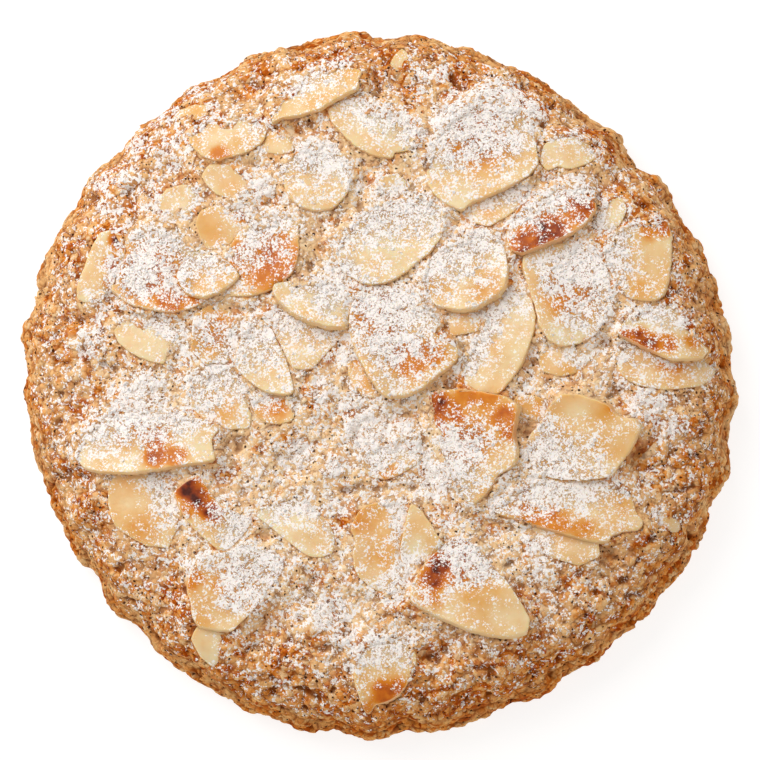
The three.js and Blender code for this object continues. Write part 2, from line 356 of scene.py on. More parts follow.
def baked_dough(name, loose):
    """Baked nut dough: a matt tan crust of ground nuts, each paler or browner than the next, toasted orange
    in places and dotted with spice, with painted shade in its hollows, in the seams between the nuts and in
    its pores. Loose bits have one tone each."""
    material, tree, shader = new_material(name)
    space = add_node(tree, "ShaderNodeTexCoord", out=3)
    fine = add_node(tree, "ShaderNodeTexNoise",
                    {"Vector": space, "Scale": 1 / (PORE_SIZE * MM), "Detail": 4.0, "Roughness": 0.65})
    relief = add_node(tree, "ShaderNodeMath", {0: fine, 1: 0.13}, operation="MULTIPLY")
    brown = add_node(tree, "ShaderNodeAttribute", attribute_name="browned", out=2)
    seams = 0.0
    if loose:
        place = space
        pick = add_node(tree, "ShaderNodeAttribute", attribute_name="tone", out=2)
    else:
        place = add_node(tree, "ShaderNodeAttribute", attribute_name="rest", out=1)
        nut_seam, nut_draw = add_granules(tree, place, 1 / (NUT_SIZE * MM), NUT_BEND * MM)
        bit_seam, bit_draw = add_granules(tree, place, 1 / (BIT_SIZE * MM), BIT_BEND * MM)
        part = add_node(tree, "ShaderNodeMath", {0: nut_draw, 1: 0.4}, operation="MULTIPLY")
        pick = add_node(tree, "ShaderNodeMath", {0: bit_draw, 1: 0.6, 2: part}, operation="MULTIPLY_ADD")
        # Painted shade: a darkening towards the seam round each nut.
        for seam, width, depth in ((nut_seam, 0.12, 0.75), (bit_seam, 0.14, 0.4)):
            dark = add_node(tree, "ShaderNodeMapRange", {0: seam, 1: 0.0, 2: width, 3: depth, 4: 0.0})
            seams = add_node(tree, "ShaderNodeMath", {0: dark, 1: seams}, operation="MAXIMUM")
        crown = add_node(tree, "ShaderNodeMapRange", {0: bit_seam, 1: 0.0, 2: 0.25, 4: 0.05},
                         interpolation_type="SMOOTHSTEP")
        relief = add_node(tree, "ShaderNodeMath", {0: relief, 1: crown}, operation="ADD")
    grainy = add_node(tree, "ShaderNodeMath", {0: fine, 1: 0.9, 2: pick}, operation="MULTIPLY_ADD")
    spread = add_node(tree, "ShaderNodeMapRange", {0: grainy, 1: 0.62, 2: 1.3})
    cream, toast, seam_shade_noise = [
        add_node(tree, "ShaderNodeTexNoise", {"Vector": place, "Scale": 1 / (size * MM), "Detail": detail})
        for size, detail in ((CREAM_SIZE, 2.0), (TOAST_SIZE, 3.0), (SEAM_SHADE_PATCH_SIZE, 2.0))
    ]
    least = add_node(tree, "ShaderNodeMapRange", {0: brown, 3: 0.3, 4: 0.54})
    above = add_node(tree, "ShaderNodeMath", {0: cream, 1: least}, operation="SUBTRACT")
    pale = add_node(tree, "ShaderNodeMapRange", {0: above, 1: 0.0, 2: 0.2, 4: 0.7})
    baked = add_node(tree, "ShaderNodeMath", {0: brown, 1: 0.16, 2: toast}, operation="MULTIPLY_ADD")
    toasted = add_node(tree, "ShaderNodeMapRange", {0: baked, 1: 0.6, 2: 0.8, 4: 0.5})
    # Painted shade: darker where the crust lies lower than round about, and along the seams in patches.
    hollow = add_node(tree, "ShaderNodeAttribute", attribute_name="hollow", out=2)
    cavity_shade_most = add_node(tree, "ShaderNodeMapRange", {0: brown, 3: 0.5, 4: 0.88})
    shallow, full = HOLLOW_DEPTHS
    cavity_shade = add_node(tree, "ShaderNodeMapRange", {0: hollow, 1: shallow * MM, 2: full * MM, 4: cavity_shade_most})
    seam_shade_level = add_node(tree, "ShaderNodeMath", {0: brown, 1: 0.1, 2: seam_shade_noise}, operation="MULTIPLY_ADD")
    most = add_node(tree, "ShaderNodeMapRange", {0: seam_shade_level, 1: 0.4, 2: 0.62})
    broken = add_node(tree, "ShaderNodeMath", {0: seams, 1: most}, operation="MULTIPLY")
    gap = add_node(tree, "ShaderNodeMath", {0: cavity_shade, 1: broken}, operation="MAXIMUM")
    # Painted shade in the pores, where the fine relief dips lowest.
    pores = add_node(tree, "ShaderNodeMapRange", {0: fine, 1: 0.43, 2: 0.3, 4: 0.7})
    grit = add_node(tree, "ShaderNodeVectorMath", {0: fine.node.outputs[1], "Scale": SPICE_DRIFT * MM},
                    operation="SCALE")
    near = add_node(tree, "ShaderNodeVectorMath", {0: place, 1: grit}, operation="ADD")
    dots = add_node(tree, "ShaderNodeTexVoronoi", {"Vector": near, "Scale": 1 / (SPICE_SIZE * MM)})
    draw = add_node(tree, "ShaderNodeSeparateXYZ", {0: dots.node.outputs["Color"]}, 1)
    reach = add_node(tree, "ShaderNodeMapRange", {0: draw, 1: 0.42, 2: 1.0, 3: 0.0, 4: 0.42})
    inside = add_node(tree, "ShaderNodeMath", {0: reach, 1: dots}, operation="SUBTRACT")
    speck = add_node(tree, "ShaderNodeMapRange", {0: inside, 1: 0.0, 2: 0.05, 4: 0.95})
    colour = fill_ramp(add_node(tree, "ShaderNodeValToRGB", {"Fac": spread}), NUT_COLOURS)
    for share, tint, blend in (
        (pale, CREAM_COLOUR, "MIX"), (toasted, TOAST_COLOUR, "MIX"), (brown, RIM_COLOUR, "MULTIPLY"),
        (gap, CREVICE_SHADE_COLOUR, "MIX"), (pores, PORE_SHADE_COLOUR, "MIX"), (speck, SPICE_COLOUR, "MIX"),
    ):
        colour = add_node(tree, "ShaderNodeMix", {0: share, 6: colour, 7: linear(tint)}, 2,
                          data_type="RGBA", blend_type=blend)
    dusted, _ = add_dust(tree, space, colour, FLECK_SIZE, 0.5)
    bump = add_node(tree, "ShaderNodeBump", {"Strength": 1.0, "Distance": MM, "Height": relief})
    set_shader(shader, Base_Color=dusted, Normal=bump, Roughness=0.85, Specular_IOR_Level=0.05,
               Subsurface_Weight=0.08, Subsurface_Radius=(1.0, 0.6, 0.35), Subsurface_Scale=0.6 * MM)
    return material


FOOT_FLAT = 0.1
FOOT_FADE = 1.4
dough_smooth, dough_faces = dough_mesh()
smooth_dough = make_piece("smooth_dough", dough_smooth, dough_faces)
write_values(smooth_dough.data, "free", np.clip((dough_smooth[:, 2] - FOOT_FLAT) / FOOT_FADE, 0, 1))
dough = show("dough", grow(smooth_dough, crumb_relief(), {
    "Lump size": 4.2 * MM, "Lump height": 0.85 * MM, "Nut size": NUT_SIZE * MM, "Nut bend": NUT_BEND * MM,
    "Nut height": 0.26 * MM, "Nut step": 0.3 * MM, "Crumb size": 1.0 * MM, "Crumb height": 0.4 * MM,
    "Pit size": 2.4 * MM, "Pit depth": 0.8 * MM, "Material": baked_dough("baked_nut_dough", False),
}))
dough.data.shade_smooth()
bpy.data.objects.remove(smooth_dough)


BROWN_START = 30
BROWN_WIDTH = 16
BROWN_LEAST = 0.62
BROWN_FRONT = 0.09
BROWN_ENDS = 0.17


def browning(places):
    """How brown the crust is: the oven browned it most at the rim and on the side, and there it is also
    browner towards the front, then at the back, and least on the left and right."""
    distance = np.hypot(places[:, 0], places[:, 1])
    out = np.clip((distance - BROWN_START) / BROWN_WIDTH, 0, 1)
    back = places[:, 1] / np.maximum(distance, 1)
    return out * (BROWN_LEAST - BROWN_FRONT * back + BROWN_ENDS * back**2)


write_values(dough.data, "browned", browning(dough_smooth))
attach(dough, "root")
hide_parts("lebkuchen")

# Flaked almonds: blanched kernels cut into slices about a millimetre thick and pressed into the wet top.
# They lie in three layers, some whole and narrowing to a tip, some snapped straight. The oven left most of
# them ivory and turned thin edges and high spots golden to dark brown.
FLAKE_THICKNESS = 1.1
FLAKE_CURL = 0.012
FLAKE_ROUNDING = 0.12
FLAKE_STEP = 0.52
FEWEST_SIDES = 20
BEVELS = ((0, 1), (0.3, 0.3), (1, 0), (3, 0))
RING_SHARES = (0.83, 0.66, 0.49, 0.32, 0.16)
CORNER_CUTS = (0.09, 0.2)
NICK = 0.025
BEND_LIMIT = 0.965
RIPPLE = 0.07
RIPPLE_WAVES = (0.9, 1.1)
LAYER_LIFT = (0.5, 1.05, 1.7)
LAYER_RISE = (0.25, 0.5, 0.8)
LAYER_SLANT = (0.1, 0.22, 0.36)
SLANT_SPREAD = (0.6, 1.2)
LAP_START = 0.4
DRIFT_START = 0.35
LAYER_STEP = (0.1, 0.3, 0.4)
RIM_STEP = 0.2
SPOT_REACH = 1.5
flake_random = np.random.default_rng(7)
flake_points, flake_faces, flake_marks, flake_rims, flake_laps, flake_steps = [], [], [], [], [], []


def spots(places, marks):
    """The strongest of some soft round marks at each place, given as x, y, radius and strength."""
    depth = np.zeros(len(places))
    for x, y, radius, strength in marks:
        near = SPOT_REACH - np.hypot(places[:, 0] - x, places[:, 1] - y) / radius
        depth = np.maximum(depth, strength * np.clip(near, 0, 1))
    return depth


def flake_edge(corners):
    """The outline of a flake from its corners, cut twice to round them, as points a step apart."""
    after = np.roll(corners, -1, axis=0)
    if np.sum(corners[:, 0] * after[:, 1] - corners[:, 1] * after[:, 0]) < 0:
        corners = corners[::-1]
    for cut in CORNER_CUTS:
        after = np.roll(corners, -1, axis=0)
        ends = [corners + cut * (after - corners), after + cut * (corners - after)]
        corners = np.stack(ends, axis=1).reshape(-1, 2)
    loop = np.vstack([corners, corners[:1]])
    travel = np.concatenate([[0], np.cumsum(np.linalg.norm(np.diff(loop, axis=0), axis=1))])
    sides = max(FEWEST_SIDES, round(travel[-1] / FLAKE_STEP))
    stations = np.arange(sides) * travel[-1] / sides
    edge = np.column_stack([np.interp(stations, travel, loop[:, k]) for k in (0, 1)])
    return edge + flake_random.normal(0, NICK, edge.shape)


def flake(layer, raised, corners, tone=0.4, toast=(), buried=1.0):
    """One flake: its layer, the way that its raised edge faces, in degrees from +X, its corners, how golden
    it is, its toasted spots as x, y, radius and depth, and how far the dough runs over its low edge."""
    edge = flake_edge(np.array(corners, dtype=float))
    centre = edge.mean(axis=0)
    edge = edge - centre
    sides = len(edge)
    far = np.linalg.norm(edge, axis=1)[:, None]
    rounding = 2 * FLAKE_ROUNDING / FLAKE_THICKNESS
    rings = [
        (edge * (1 - inset * FLAKE_ROUNDING / far), 1 - missing * rounding) for inset, missing in BEVELS
    ]
    rings += [(rings[-1][0] * share, 1) for share in RING_SHARES]
    sheet = np.vstack([place for place, _ in rings] + [np.zeros((1, 2))])
    swells = [swell for _, swell in rings] + [1]
    half = np.repeat(swells, [sides] * len(rings) + [1]) * FLAKE_THICKNESS / 2
    phase = flake_random.uniform(0, 2 * np.pi, 2)
    facing = np.array([math.cos(math.radians(raised)), math.sin(math.radians(raised))])
    lean = LAYER_SLANT[layer] * flake_random.uniform(*SLANT_SPREAD) * facing
    reach = (edge @ facing).max()
    across = np.linalg.eigh(np.cov(edge.T))[1][:, 0]
    levels = []
    for way in (1, -1):
        world = sheet + centre - way * lean / 2
        out = np.minimum(np.hypot(world[:, 0], world[:, 1]), BEND_LIMIT * DOUGH_RADIUS)
        middle = dome_height(out) + LAYER_LIFT[layer] - FLAKE_THICKNESS / 2
        middle += LAYER_RISE[layer] * (sheet @ facing) / reach
        middle += FLAKE_CURL * (sheet @ across) ** 2
        middle += RIPPLE * np.sin(world * RIPPLE_WAVES + phase).sum(axis=1)
        levels.append(np.column_stack([world, middle + way * half]))
    places = np.vstack(levels)
    below = len(sheet)
    here = np.arange(sides)
    after = (here + 1) % sides
    faces = np.column_stack([below + here, below + after, after, here]).tolist()
    for ring in range(len(rings) - 1):
        a, b = ring * sides, (ring + 1) * sides
        faces += np.column_stack([a + here, a + after, b + after, b + here]).tolist()
        faces += (np.column_stack([a + after, a + here, b + here, b + after]) + below).tolist()
    last = (len(rings) - 1) * sides
    faces += np.column_stack([last + here, last + after, np.full(sides, below - 1)]).tolist()
    faces += (np.column_stack([last + after, last + here, np.full(sides, below - 1)]) + below).tolist()
    flake_points.append(places)
    flake_faces.append(faces)
    # The rim rings, which the almond material lightens with a painted highlight.
    cut = np.where(np.arange(below) < 2 * sides, 1, 0)
    low = np.clip(DRIFT_START - (sheet @ facing) / reach, 0, 1)
    flake_marks.append(np.column_stack([
        spots(places, toast), np.full(len(places), tone), np.tile(cut, 2), np.tile(low, 2),
    ]))
    flake_rims.append(levels[0][2 * sides:3 * sides])
    side = (edge @ facing) / reach
    flake_laps.append(buried * np.clip(LAP_START - side, 0, 1))
    flake_steps.append(RIM_STEP + LAYER_STEP[layer] * np.clip(side, 0, 1))


flake(0, 200, [
    (-23.2, 27), (-22.3, 28.6), (-19.5, 28.6), (-17, 27), (-16.2, 25.6), (-16.4, 24), (-19, 23.8),
    (-21, 24.4), (-22.2, 25.6),
], 0.45)
flake(0, 270, [
    (13.2, 23), (16.3, 24.2), (19.5, 25.3), (20.6, 24.5), (20, 22.7), (17.8, 21), (15.6, 19.7),
    (13.6, 20.3),
], 0.35)
flake(0, 260, [
    (32.6, 1), (33.3, 3.4), (35.5, 3.8), (40, 2.2), (44, 2.2), (45.9, 1.2), (45.6, -0.2), (43.9, -1.5),
    (41.2, -2), (38.9, -2.2), (35.5, -1.7), (33.5, -0.6),
], 0.4, [(40, 2, 2.5, 0.35)])
flake(0, 270, [
    (10, 8.3), (14.1, 8.8), (14.6, 6.9), (14.2, 5.6), (12.4, 5.3), (10.4, 5),
], 0.5)
flake(0, 240, [
    (-35.6, -15.5), (-35.2, -14), (-34.6, -12.4), (-31, -11.8), (-28, -12.2), (-27.2, -14.4),
    (-26.1, -16.9), (-25.5, -18.7), (-26.1, -20.3), (-27, -22.1), (-27.4, -23.2), (-28.8, -22.9),
    (-30.4, -22.8), (-32.2, -21.8), (-34.2, -20.5), (-35.1, -19.3), (-35.6, -17.3),
], 0.6, [(-31, -20.5, 2.4, 0.2)])
flake(0, 200, [
    (-24.6, -35), (-23.6, -33.4), (-20.4, -33.6), (-20, -34.6), (-20.4, -36.6), (-21.1, -38.5),
    (-21.9, -38.8), (-23.4, -37.4),
], 0.35, [(-20, -36, 0.8, 0.35)])
flake(0, 300, [
    (21, -20.6), (24, -20.8), (30, -21.6), (30.4, -24.4), (27.6, -25.8), (23.6, -24.6), (20.8, -22.6),
], 0.55)
flake(0, 250, [
    (21.8, 2.9), (23.6, 3.6), (26, 3), (27.6, 1.6), (27.3, 0), (25, -0.5), (22.6, 0.2),
], 0.6)
flake(0, 120, [
    (18.6, -3.6), (20.4, -2.8), (22.6, -3.2), (23.4, -4.9), (22.8, -6.7), (20.6, -6.1), (19.2, -5.4),
], 0.75)
flake(0, 220, [
    (-3.2, 3.6), (-1.6, 1.4), (0.6, -1.8), (1.2, -3.2), (-1.2, -3.2), (-3.4, 0),
], 0.6, [(-2.6, 2, 1, 0.25)])
flake(0, 90, [
    (0.4, 25), (1.2, 26.8), (3.4, 27.2), (4.6, 26), (4.4, 24.2), (2.4, 23.4), (0.8, 23.8),
], 0.5)
flake(0, 110, [
    (-27.7, 35.1), (-26.6, 36.6), (-24.4, 37.3), (-22.2, 36.9), (-22, 35.8), (-24, 34.9), (-26.2, 34.5),
], 0.5)
flake(0, 140, [
    (-29.2, 23.4), (-28, 25.4), (-25.4, 26), (-23, 25), (-22.9, 23.4), (-25, 21.9), (-28, 21.8),
], 0.35)
flake(0, 330, [
    (37.9, -18.5), (39.3, -18.8), (41, -19.8), (41, -20.9), (39.9, -21.1), (38.3, -20.3),
], 0.7)
flake(0, 90, [
    (3.7, 44.8), (4.7, 43.7), (4.6, 42.3), (3.5, 40.9), (2.4, 41), (2, 42), (2.6, 43.5),
], 0.75)
flake(0, 0, [
    (29.6, 20.4), (31, 23.2), (33.2, 24), (34.2, 22.4), (33.2, 20), (31, 19.2),
], 0.45)
flake(0, 300, [
    (-14.9, 32), (-13.7, 33.5), (-12, 33), (-10.8, 31.3), (-10.5, 30.2), (-12.5, 29.8), (-14.9, 30.2),
], 0.6)
flake(0, 270, [
    (-16.6, -3.4), (-14.8, -2.7), (-12, -3.2), (-10.6, -4.2), (-10.4, -5.6), (-11, -6.4), (-12.6, -6.7),
    (-14.2, -6.5), (-15.6, -5.6),
], 0.75, [(-13, -3.8, 2, 0.45), (-14.5, -5, 1.5, 0.25)])
flake(0, 160, [
    (-23.9, 20.6), (-23.3, 18.8), (-22.4, 17.1), (-20.9, 17.1), (-19.1, 17.8), (-17, 19), (-16.4, 21.2),
    (-17.5, 22.3), (-19.5, 22.7), (-21.6, 22.9), (-23.3, 22.3),
], 0.6, [(-17.4, 21.9, 1.1, 0.65)])
flake(0, 180, [
    (-24.2, 8), (-22, 9.6), (-19.4, 8.8), (-18.1, 6.6), (-18, 3.6), (-19.5, 1.6), (-22.4, 1.2),
    (-24.4, 3.4),
], 0.7, [(-21, 6, 2.5, 0.35)])
flake(0, 250, [
    (-15.8, -18.8), (-15, -17.8), (-12.4, -17.3), (-9.8, -16.5), (-8.5, -17.3), (-7.4, -18.6),
    (-5.8, -20), (-5, -22.2), (-5.4, -24), (-6.8, -24.6), (-8.6, -24.4), (-9.9, -23.5), (-11.6, -22.2),
    (-13.5, -20.6),
], 0.3, (), 0.3)
flake(0, 180, [
    (-3, -20.6), (-1.9, -18.4), (-0.8, -17.5), (1, -17.2), (3.3, -17), (4.6, -18.2), (5, -22), (4.6, -26),
    (3.6, -29), (2.4, -29.5), (0.3, -28.9), (-1.7, -27.4), (-2.5, -26), (-2.7, -23.8), (-2.2, -22.4),
], 0.6, [(-1.6, -19.5, 2.2, 0.25)])
flake(0, 270, [
    (-24.6, -4), (-24.4, -0.4), (-22, 1.6), (-19, 1.4), (-17.2, -1), (-16.9, -4), (-16.2, -5.2),
    (-16.4, -7.2), (-19.8, -7.3), (-20.6, -6.4), (-22.6, -6),
], 0.45)
flake(0, 240, [
    (-34.9, 6.1), (-34.4, 4.7), (-32.9, 3.4), (-31.3, 2.5), (-29.7, 1.9), (-28.1, 1.5), (-27.6, 2.8),
    (-26.1, 5.2), (-25.2, 6.2), (-27.2, 7.6), (-30.2, 7.4), (-32.4, 7.7), (-34.2, 7.2),
], 0.35)
flake(0, 250, [
    (22.3, 28.6), (22.9, 31), (24.6, 32.2), (27, 32.3), (29.6, 31.2), (30.3, 29.6), (28.8, 28.4),
    (26.5, 27.6), (24.8, 28), (23.4, 27.3),
], 0.4)
flake(0, 270, [
    (-1.5, -12), (-0.9, -10.4), (1.5, -9.4), (4.4, -9.1), (7.2, -10), (7.2, -11), (5.6, -12.4),
    (3.6, -13.6), (1.6, -14.2), (-0.6, -13.8),
], 0.5, [(2, -13.6, 1.5, 0.3)])
flake(0, 260, [
    (-13.6, 8.4), (-12, 8.6), (-9.5, 7.3), (-5.3, 6.2), (-4.8, 4.2), (-6.5, 2.5), (-7.8, 0.8),
    (-9.4, 0.6), (-10.9, 0.9), (-11.6, 2.4), (-13.4, 5.9),
], 0.4)
flake(1, 260, [
    (-25, 31.8), (-24.2, 33.2), (-22, 34.4), (-20, 34.8), (-17.7, 34.7), (-15.5, 34.3), (-14.2, 33.4),
    (-14.7, 31.6), (-16.6, 30.2), (-18.6, 29.6), (-21.1, 28.9), (-23.2, 29.7),
], 0.6, [(-20.5, 29.8, 1.6, 0.4)])
flake(1, 260, [
    (-12, 26.5), (-11.9, 25.2), (-11.2, 23.9), (-9.8, 22.5), (-7.6, 21.9), (-5.3, 22.2), (-3.8, 23.7),
    (-3, 25), (-2.7, 26.8), (-4, 29), (-6, 30.6), (-8.5, 31), (-10.8, 29.4), (-11.9, 27.9),
], 0.4)
flake(1, 240, [
    (-6.2, 35.8), (-4.6, 36.9), (-2.5, 37.6), (0.5, 36), (3.2, 34.9), (5.7, 33.7), (6.3, 32.6),
    (6.2, 31.3), (5, 30.1), (2.9, 29.8), (2.7, 29), (0, 29.4), (-2.4, 30.7), (-4.2, 32.5), (-5.6, 34.1),
], 0.35)
flake(1, 280, [
    (7.3, 26.8), (7.5, 28.7), (8.4, 31.6), (10, 34.1), (12.5, 35.6), (15.5, 36.8), (18.5, 36.6),
    (20.8, 34.6), (21.8, 31.8), (22.3, 28.2), (20.9, 26.4), (19.1, 25.5), (16.3, 24.1), (13.6, 23.1),
    (12, 21.8), (10, 22.7), (8.4, 23.9), (7.5, 25.3),
], 0.5, [(14, 32, 4.5, 0.4)])
flake(1, 210, [
    (20, 15.6), (20.2, 13.5), (20.9, 11.5), (21.6, 9.2), (22.3, 6.2), (23.6, 4.2), (25.4, 3.5),
    (27.6, 3.9), (29.7, 5), (31.4, 7.6), (31.9, 11), (31.3, 14.3), (29.5, 16.6), (26.5, 17.5), (23, 17.2),
], 0.5, [(27, 11, 4, 0.35)])
flake(1, 330, [
    (30.9, 16.1), (32.4, 18.3), (33.8, 19.3), (35.5, 20.1), (39.5, 20.9), (40, 19.3), (40, 15.3),
    (39.6, 12.6), (38.9, 10.3), (37.4, 9.6), (34.9, 9.8), (33, 11), (32.1, 13.3),
], 0.5, [(39, 20.2, 1.6, 0.55), (37, 19.3, 1.5, 0.35)])
flake(1, 280, [
    (-4.9, 16.3), (-3.5, 18.8), (-2.2, 20.5), (0, 21.9), (1.5, 23.1), (3.9, 23.6), (6.9, 23.8),
    (9.6, 22.3), (9.9, 19.6), (9.2, 18.2), (7.8, 16.2), (5.7, 14.6), (4.8, 13.7), (3, 12.6), (1, 11.9),
    (-1.2, 12), (-4, 13.6),
], 0.4)
flake(1, 330, [
    (15, 6.5), (15.3, 8.2), (16.3, 10.1), (18.1, 11.1), (20.3, 10.9), (21.4, 9.8), (21.9, 7.6),
    (21.7, 5.6), (20.9, 3.3), (20, 1), (18.6, -1), (17, -2.9), (14.8, -2.9), (12.6, -1.5), (12, 0.6),
    (12.6, 2.5), (13.8, 4.3),
], 0.3)
flake(1, 280, [
    (-17.5, 5.2), (-16.4, 6.7), (-13.7, 6.6), (-12.8, 4.6), (-11.5, 1.9), (-10.7, -0.9), (-10.4, -2.5),
    (-11.4, -2.9), (-14.4, -2.4), (-16.6, -0.9), (-18.4, 1), (-18.3, 3),
], 0.4)
flake(1, 310, [
    (-19.2, 17.2), (-18, 19.3), (-16, 20.6), (-13.9, 21.3), (-11.2, 21.6), (-9.9, 20.2), (-9.8, 17),
    (-10, 15.2), (-10.7, 13.6), (-12.1, 12.2), (-14, 11.2), (-16.5, 10.5), (-19.5, 10.6), (-19.8, 13),
], 0.7, [(-13.5, 15, 4.2, 0.5), (-17, 16, 2.5, 0.4), (-11, 13.5, 2.2, 0.5)])
flake(1, 250, [
    (-35.6, 12), (-35.2, 15), (-33.8, 18), (-31, 19.6), (-28, 19.6), (-24.5, 18), (-21.5, 16),
    (-20.3, 13.5), (-21.8, 10.3), (-24.3, 8.9), (-27, 8.4), (-30, 8.8), (-33, 9.7),
], 0.5, [(-27, 10, 2.5, 0.5), (-23, 11, 2.5, 0.5), (-30, 14, 4, 0.55)])
flake(1, 160, [
    (-40, 10.6), (-39.9, 12.7), (-39, 15), (-38.1, 17.4), (-36.9, 19.7), (-35.1, 20), (-33.8, 19.2),
    (-33.4, 16.8), (-34.3, 14.5), (-34.9, 12.7), (-35.8, 11.3), (-37, 10.3), (-38.7, 10.1),
], 0.45, [
    (-34.2, 18.6, 1.3, 0.9), (-35.2, 15.4, 1.1, 0.6), (-34.7, 14.5, 0.9, 0.75), (-35.4, 12.8, 1, 0.45),
])
flake(1, 235, [
    (-24.4, -26.2), (-25, -28.6), (-24.4, -30.6), (-24.3, -32.4), (-23.4, -33.7), (-21.2, -34.1),
    (-18.9, -34.4), (-17.9, -33.4), (-15.9, -31.6), (-14.2, -29), (-12.4, -27), (-11.8, -25.2),
    (-13, -23.5), (-15.4, -23.5), (-17.5, -22.5), (-19, -23.6), (-22.4, -24.3),
], 0.6, [(-24, -27.5, 1.8, 0.35), (-15, -31.5, 1.5, 0.35), (-19, -28, 4, 0.25)], 0.35)
flake(1, 200, [
    (-26.7, -15.6), (-25.2, -14.4), (-23.2, -13.4), (-22.2, -15.2), (-20.4, -17.8), (-18.2, -18.4),
    (-16, -19.4), (-17.2, -21.2), (-19.1, -23.3), (-20.6, -23.6), (-22.5, -22), (-24.1, -20.5),
    (-25.5, -18.6), (-26.1, -17.3),
], 0.5, [
    (-24.6, -15.3, 1.6, 1), (-23.2, -16.6, 1.5, 1), (-21.9, -18, 1.4, 0.9), (-21.2, -18.8, 1, 0.85),
    (-23.6, -14, 1.2, 0.45), (-26, -16.6, 1, 0.35), (-25, -18.2, 1.2, 0.4),
], 0.15)
flake(1, 60, [
    (5.2, -17.4), (6.4, -18.1), (7.6, -19.8), (8.9, -21.9), (9.7, -23), (8.4, -24.6), (6, -25.6),
    (3.8, -25.2), (3.7, -23.4), (4.3, -20.7), (4.7, -18.7),
], 0.4)
flake(1, 270, [
    (-2, -37.6), (-2.5, -39.8), (-2.5, -41.4), (-2, -43), (-1.1, -45.3), (-0.5, -45.3), (0, -44.3),
    (2.2, -43.7), (3.7, -42.7), (4.8, -41.1), (5.7, -39.3), (5.8, -38), (5.2, -36), (3, -35), (0, -35.4),
    (-1.6, -36.4),
], 0.6, [(1.5, -42.5, 1.6, 0.7), (3.2, -41.8, 1.4, 0.5), (-1, -44.5, 1, 0.4)])
flake(1, 280, [
    (15.8, -18.4), (17.2, -19.1), (20, -19.9), (21.8, -20.5), (25, -21.4), (28, -22.3), (30, -22.7),
    (31.5, -22.6), (31.7, -21.9), (33.4, -21.3), (35.4, -21.1), (36.2, -20.1), (35.2, -18.8),
    (34.6, -16.6), (32.4, -14.6), (28, -13.8), (23.6, -14), (19.7, -15.5), (18.2, -16.6),
], 0.5, [(21, -19, 2.5, 0.4), (24, -20, 2.5, 0.45), (28, -20.8, 2, 0.3)])
flake(2, 300, [
    (-13.7, 33.8), (-12.6, 37), (-11.2, 38.8), (-9.8, 40.3), (-7.6, 41.4), (-4.2, 42.1), (-1.3, 41),
    (-1.9, 39.9), (-1.8, 38.7), (-3.5, 37.8), (-5.8, 36.5), (-7.1, 35.6), (-9.8, 34.9), (-12.1, 34.6),
], 0.65)
flake(2, 290, [
    (18, 18.3), (18.7, 16.2), (20.2, 15.8), (22, 16.6), (23.8, 17.3), (26, 18.2), (28.6, 20), (30, 22),
    (29.9, 24), (28, 25), (25.5, 24.9), (22.5, 23.8), (20, 22), (18.6, 20.4),
], 0.7, [(23.5, 18.8, 3, 0.85), (27.8, 22.3, 2.4, 0.72), (20.3, 17.3, 2, 0.75)])
flake(2, 260, [
    (32.6, 5.2), (33.7, 6.8), (35.4, 8.5), (38, 9.1), (39.9, 9.5), (41.2, 8.1), (42, 6.2), (43.2, 4.7),
    (45, 3.2), (44, 2.2), (42.5, 1.8), (40.1, 1.7), (38, 2.5), (36.2, 3.3), (34.4, 4.2),
], 0.5, [
    (34, 4.7, 1.2, 0.65), (35.6, 4.8, 1.2, 0.7), (37.1, 3.8, 1.4, 0.75), (39.4, 4, 1.4, 0.5),
    (42.8, 4.3, 1.1, 0.4),
])
flake(2, 300, [
    (7, 13.4), (6.9, 12.2), (7.4, 10.4), (8.5, 9), (10.5, 8.4), (12.3, 8.2), (14.3, 8.7), (16.3, 9.9),
    (17.9, 11.2), (18.3, 14), (17.8, 16.9), (16.6, 18.8), (14.5, 19.6), (12.3, 18.4), (10, 17.1),
    (8, 15.6),
], 0.45, [(15.5, 11.5, 2.5, 0.2)])
flake(2, 250, [
    (-13.5, 11.2), (-12.8, 10), (-11.2, 8.4), (-9.8, 7.5), (-7.6, 6.6), (-5.6, 6), (-3.1, 6.1), (-2, 8.5),
    (-3, 10.8), (-5.5, 12.3), (-8.5, 12.6), (-11.5, 12.3), (-13.1, 12.1),
], 0.4)
flake(2, 280, [
    (-17.7, 13.2), (-18.9, 14.8), (-20.8, 16), (-23.5, 16.3), (-25.8, 15), (-26.3, 13), (-25, 10.8),
    (-22.5, 10.2), (-20.5, 10.9), (-19, 12),
], 0.55)
flake(2, 280, [
    (-40, -10.8), (-39.2, -8.4), (-37.8, -7), (-35.6, -5.4), (-32, -4.9), (-28, -5.2), (-25, -5.6),
    (-22.5, -6.1), (-21.4, -6.6), (-20.4, -7.4), (-21.5, -8.7), (-21.3, -10.1), (-20.9, -11.6),
    (-22.9, -12), (-25.2, -12.2), (-28, -12.7), (-30, -13), (-32.4, -13.2), (-35, -13.1), (-37, -12.9),
    (-38.8, -12.3),
], 0.45, [
    (-29, -8.6, 1.8, 0.55), (-31.2, -7.4, 1.2, 0.4), (-29, -10.8, 1.6, 0.6), (-26.3, -10.9, 1.5, 0.55),
    (-33, -8.8, 1.6, 0.25),
])
flake(2, 260, [
    (5, -30.6), (5.2, -28.4), (6.2, -26.8), (7.8, -24.6), (10, -22.6), (12, -22), (13.8, -23.2),
    (16.3, -26.2), (18.2, -28.4), (19.7, -30.7), (21, -33), (20.6, -34.8), (18, -35.4), (15.4, -35.1),
    (12.7, -34.4), (10, -33.2), (7.5, -32),
], 0.4, [
    (8.9, -25.7, 1.8, 0.9), (7.9, -27.7, 1.6, 0.8), (11.8, -24.2, 2, 0.6), (10.9, -26.2, 2.4, 0.55),
    (7.8, -30, 1.8, 0.35), (13.5, -27, 2.5, 0.25),
], 0.15)
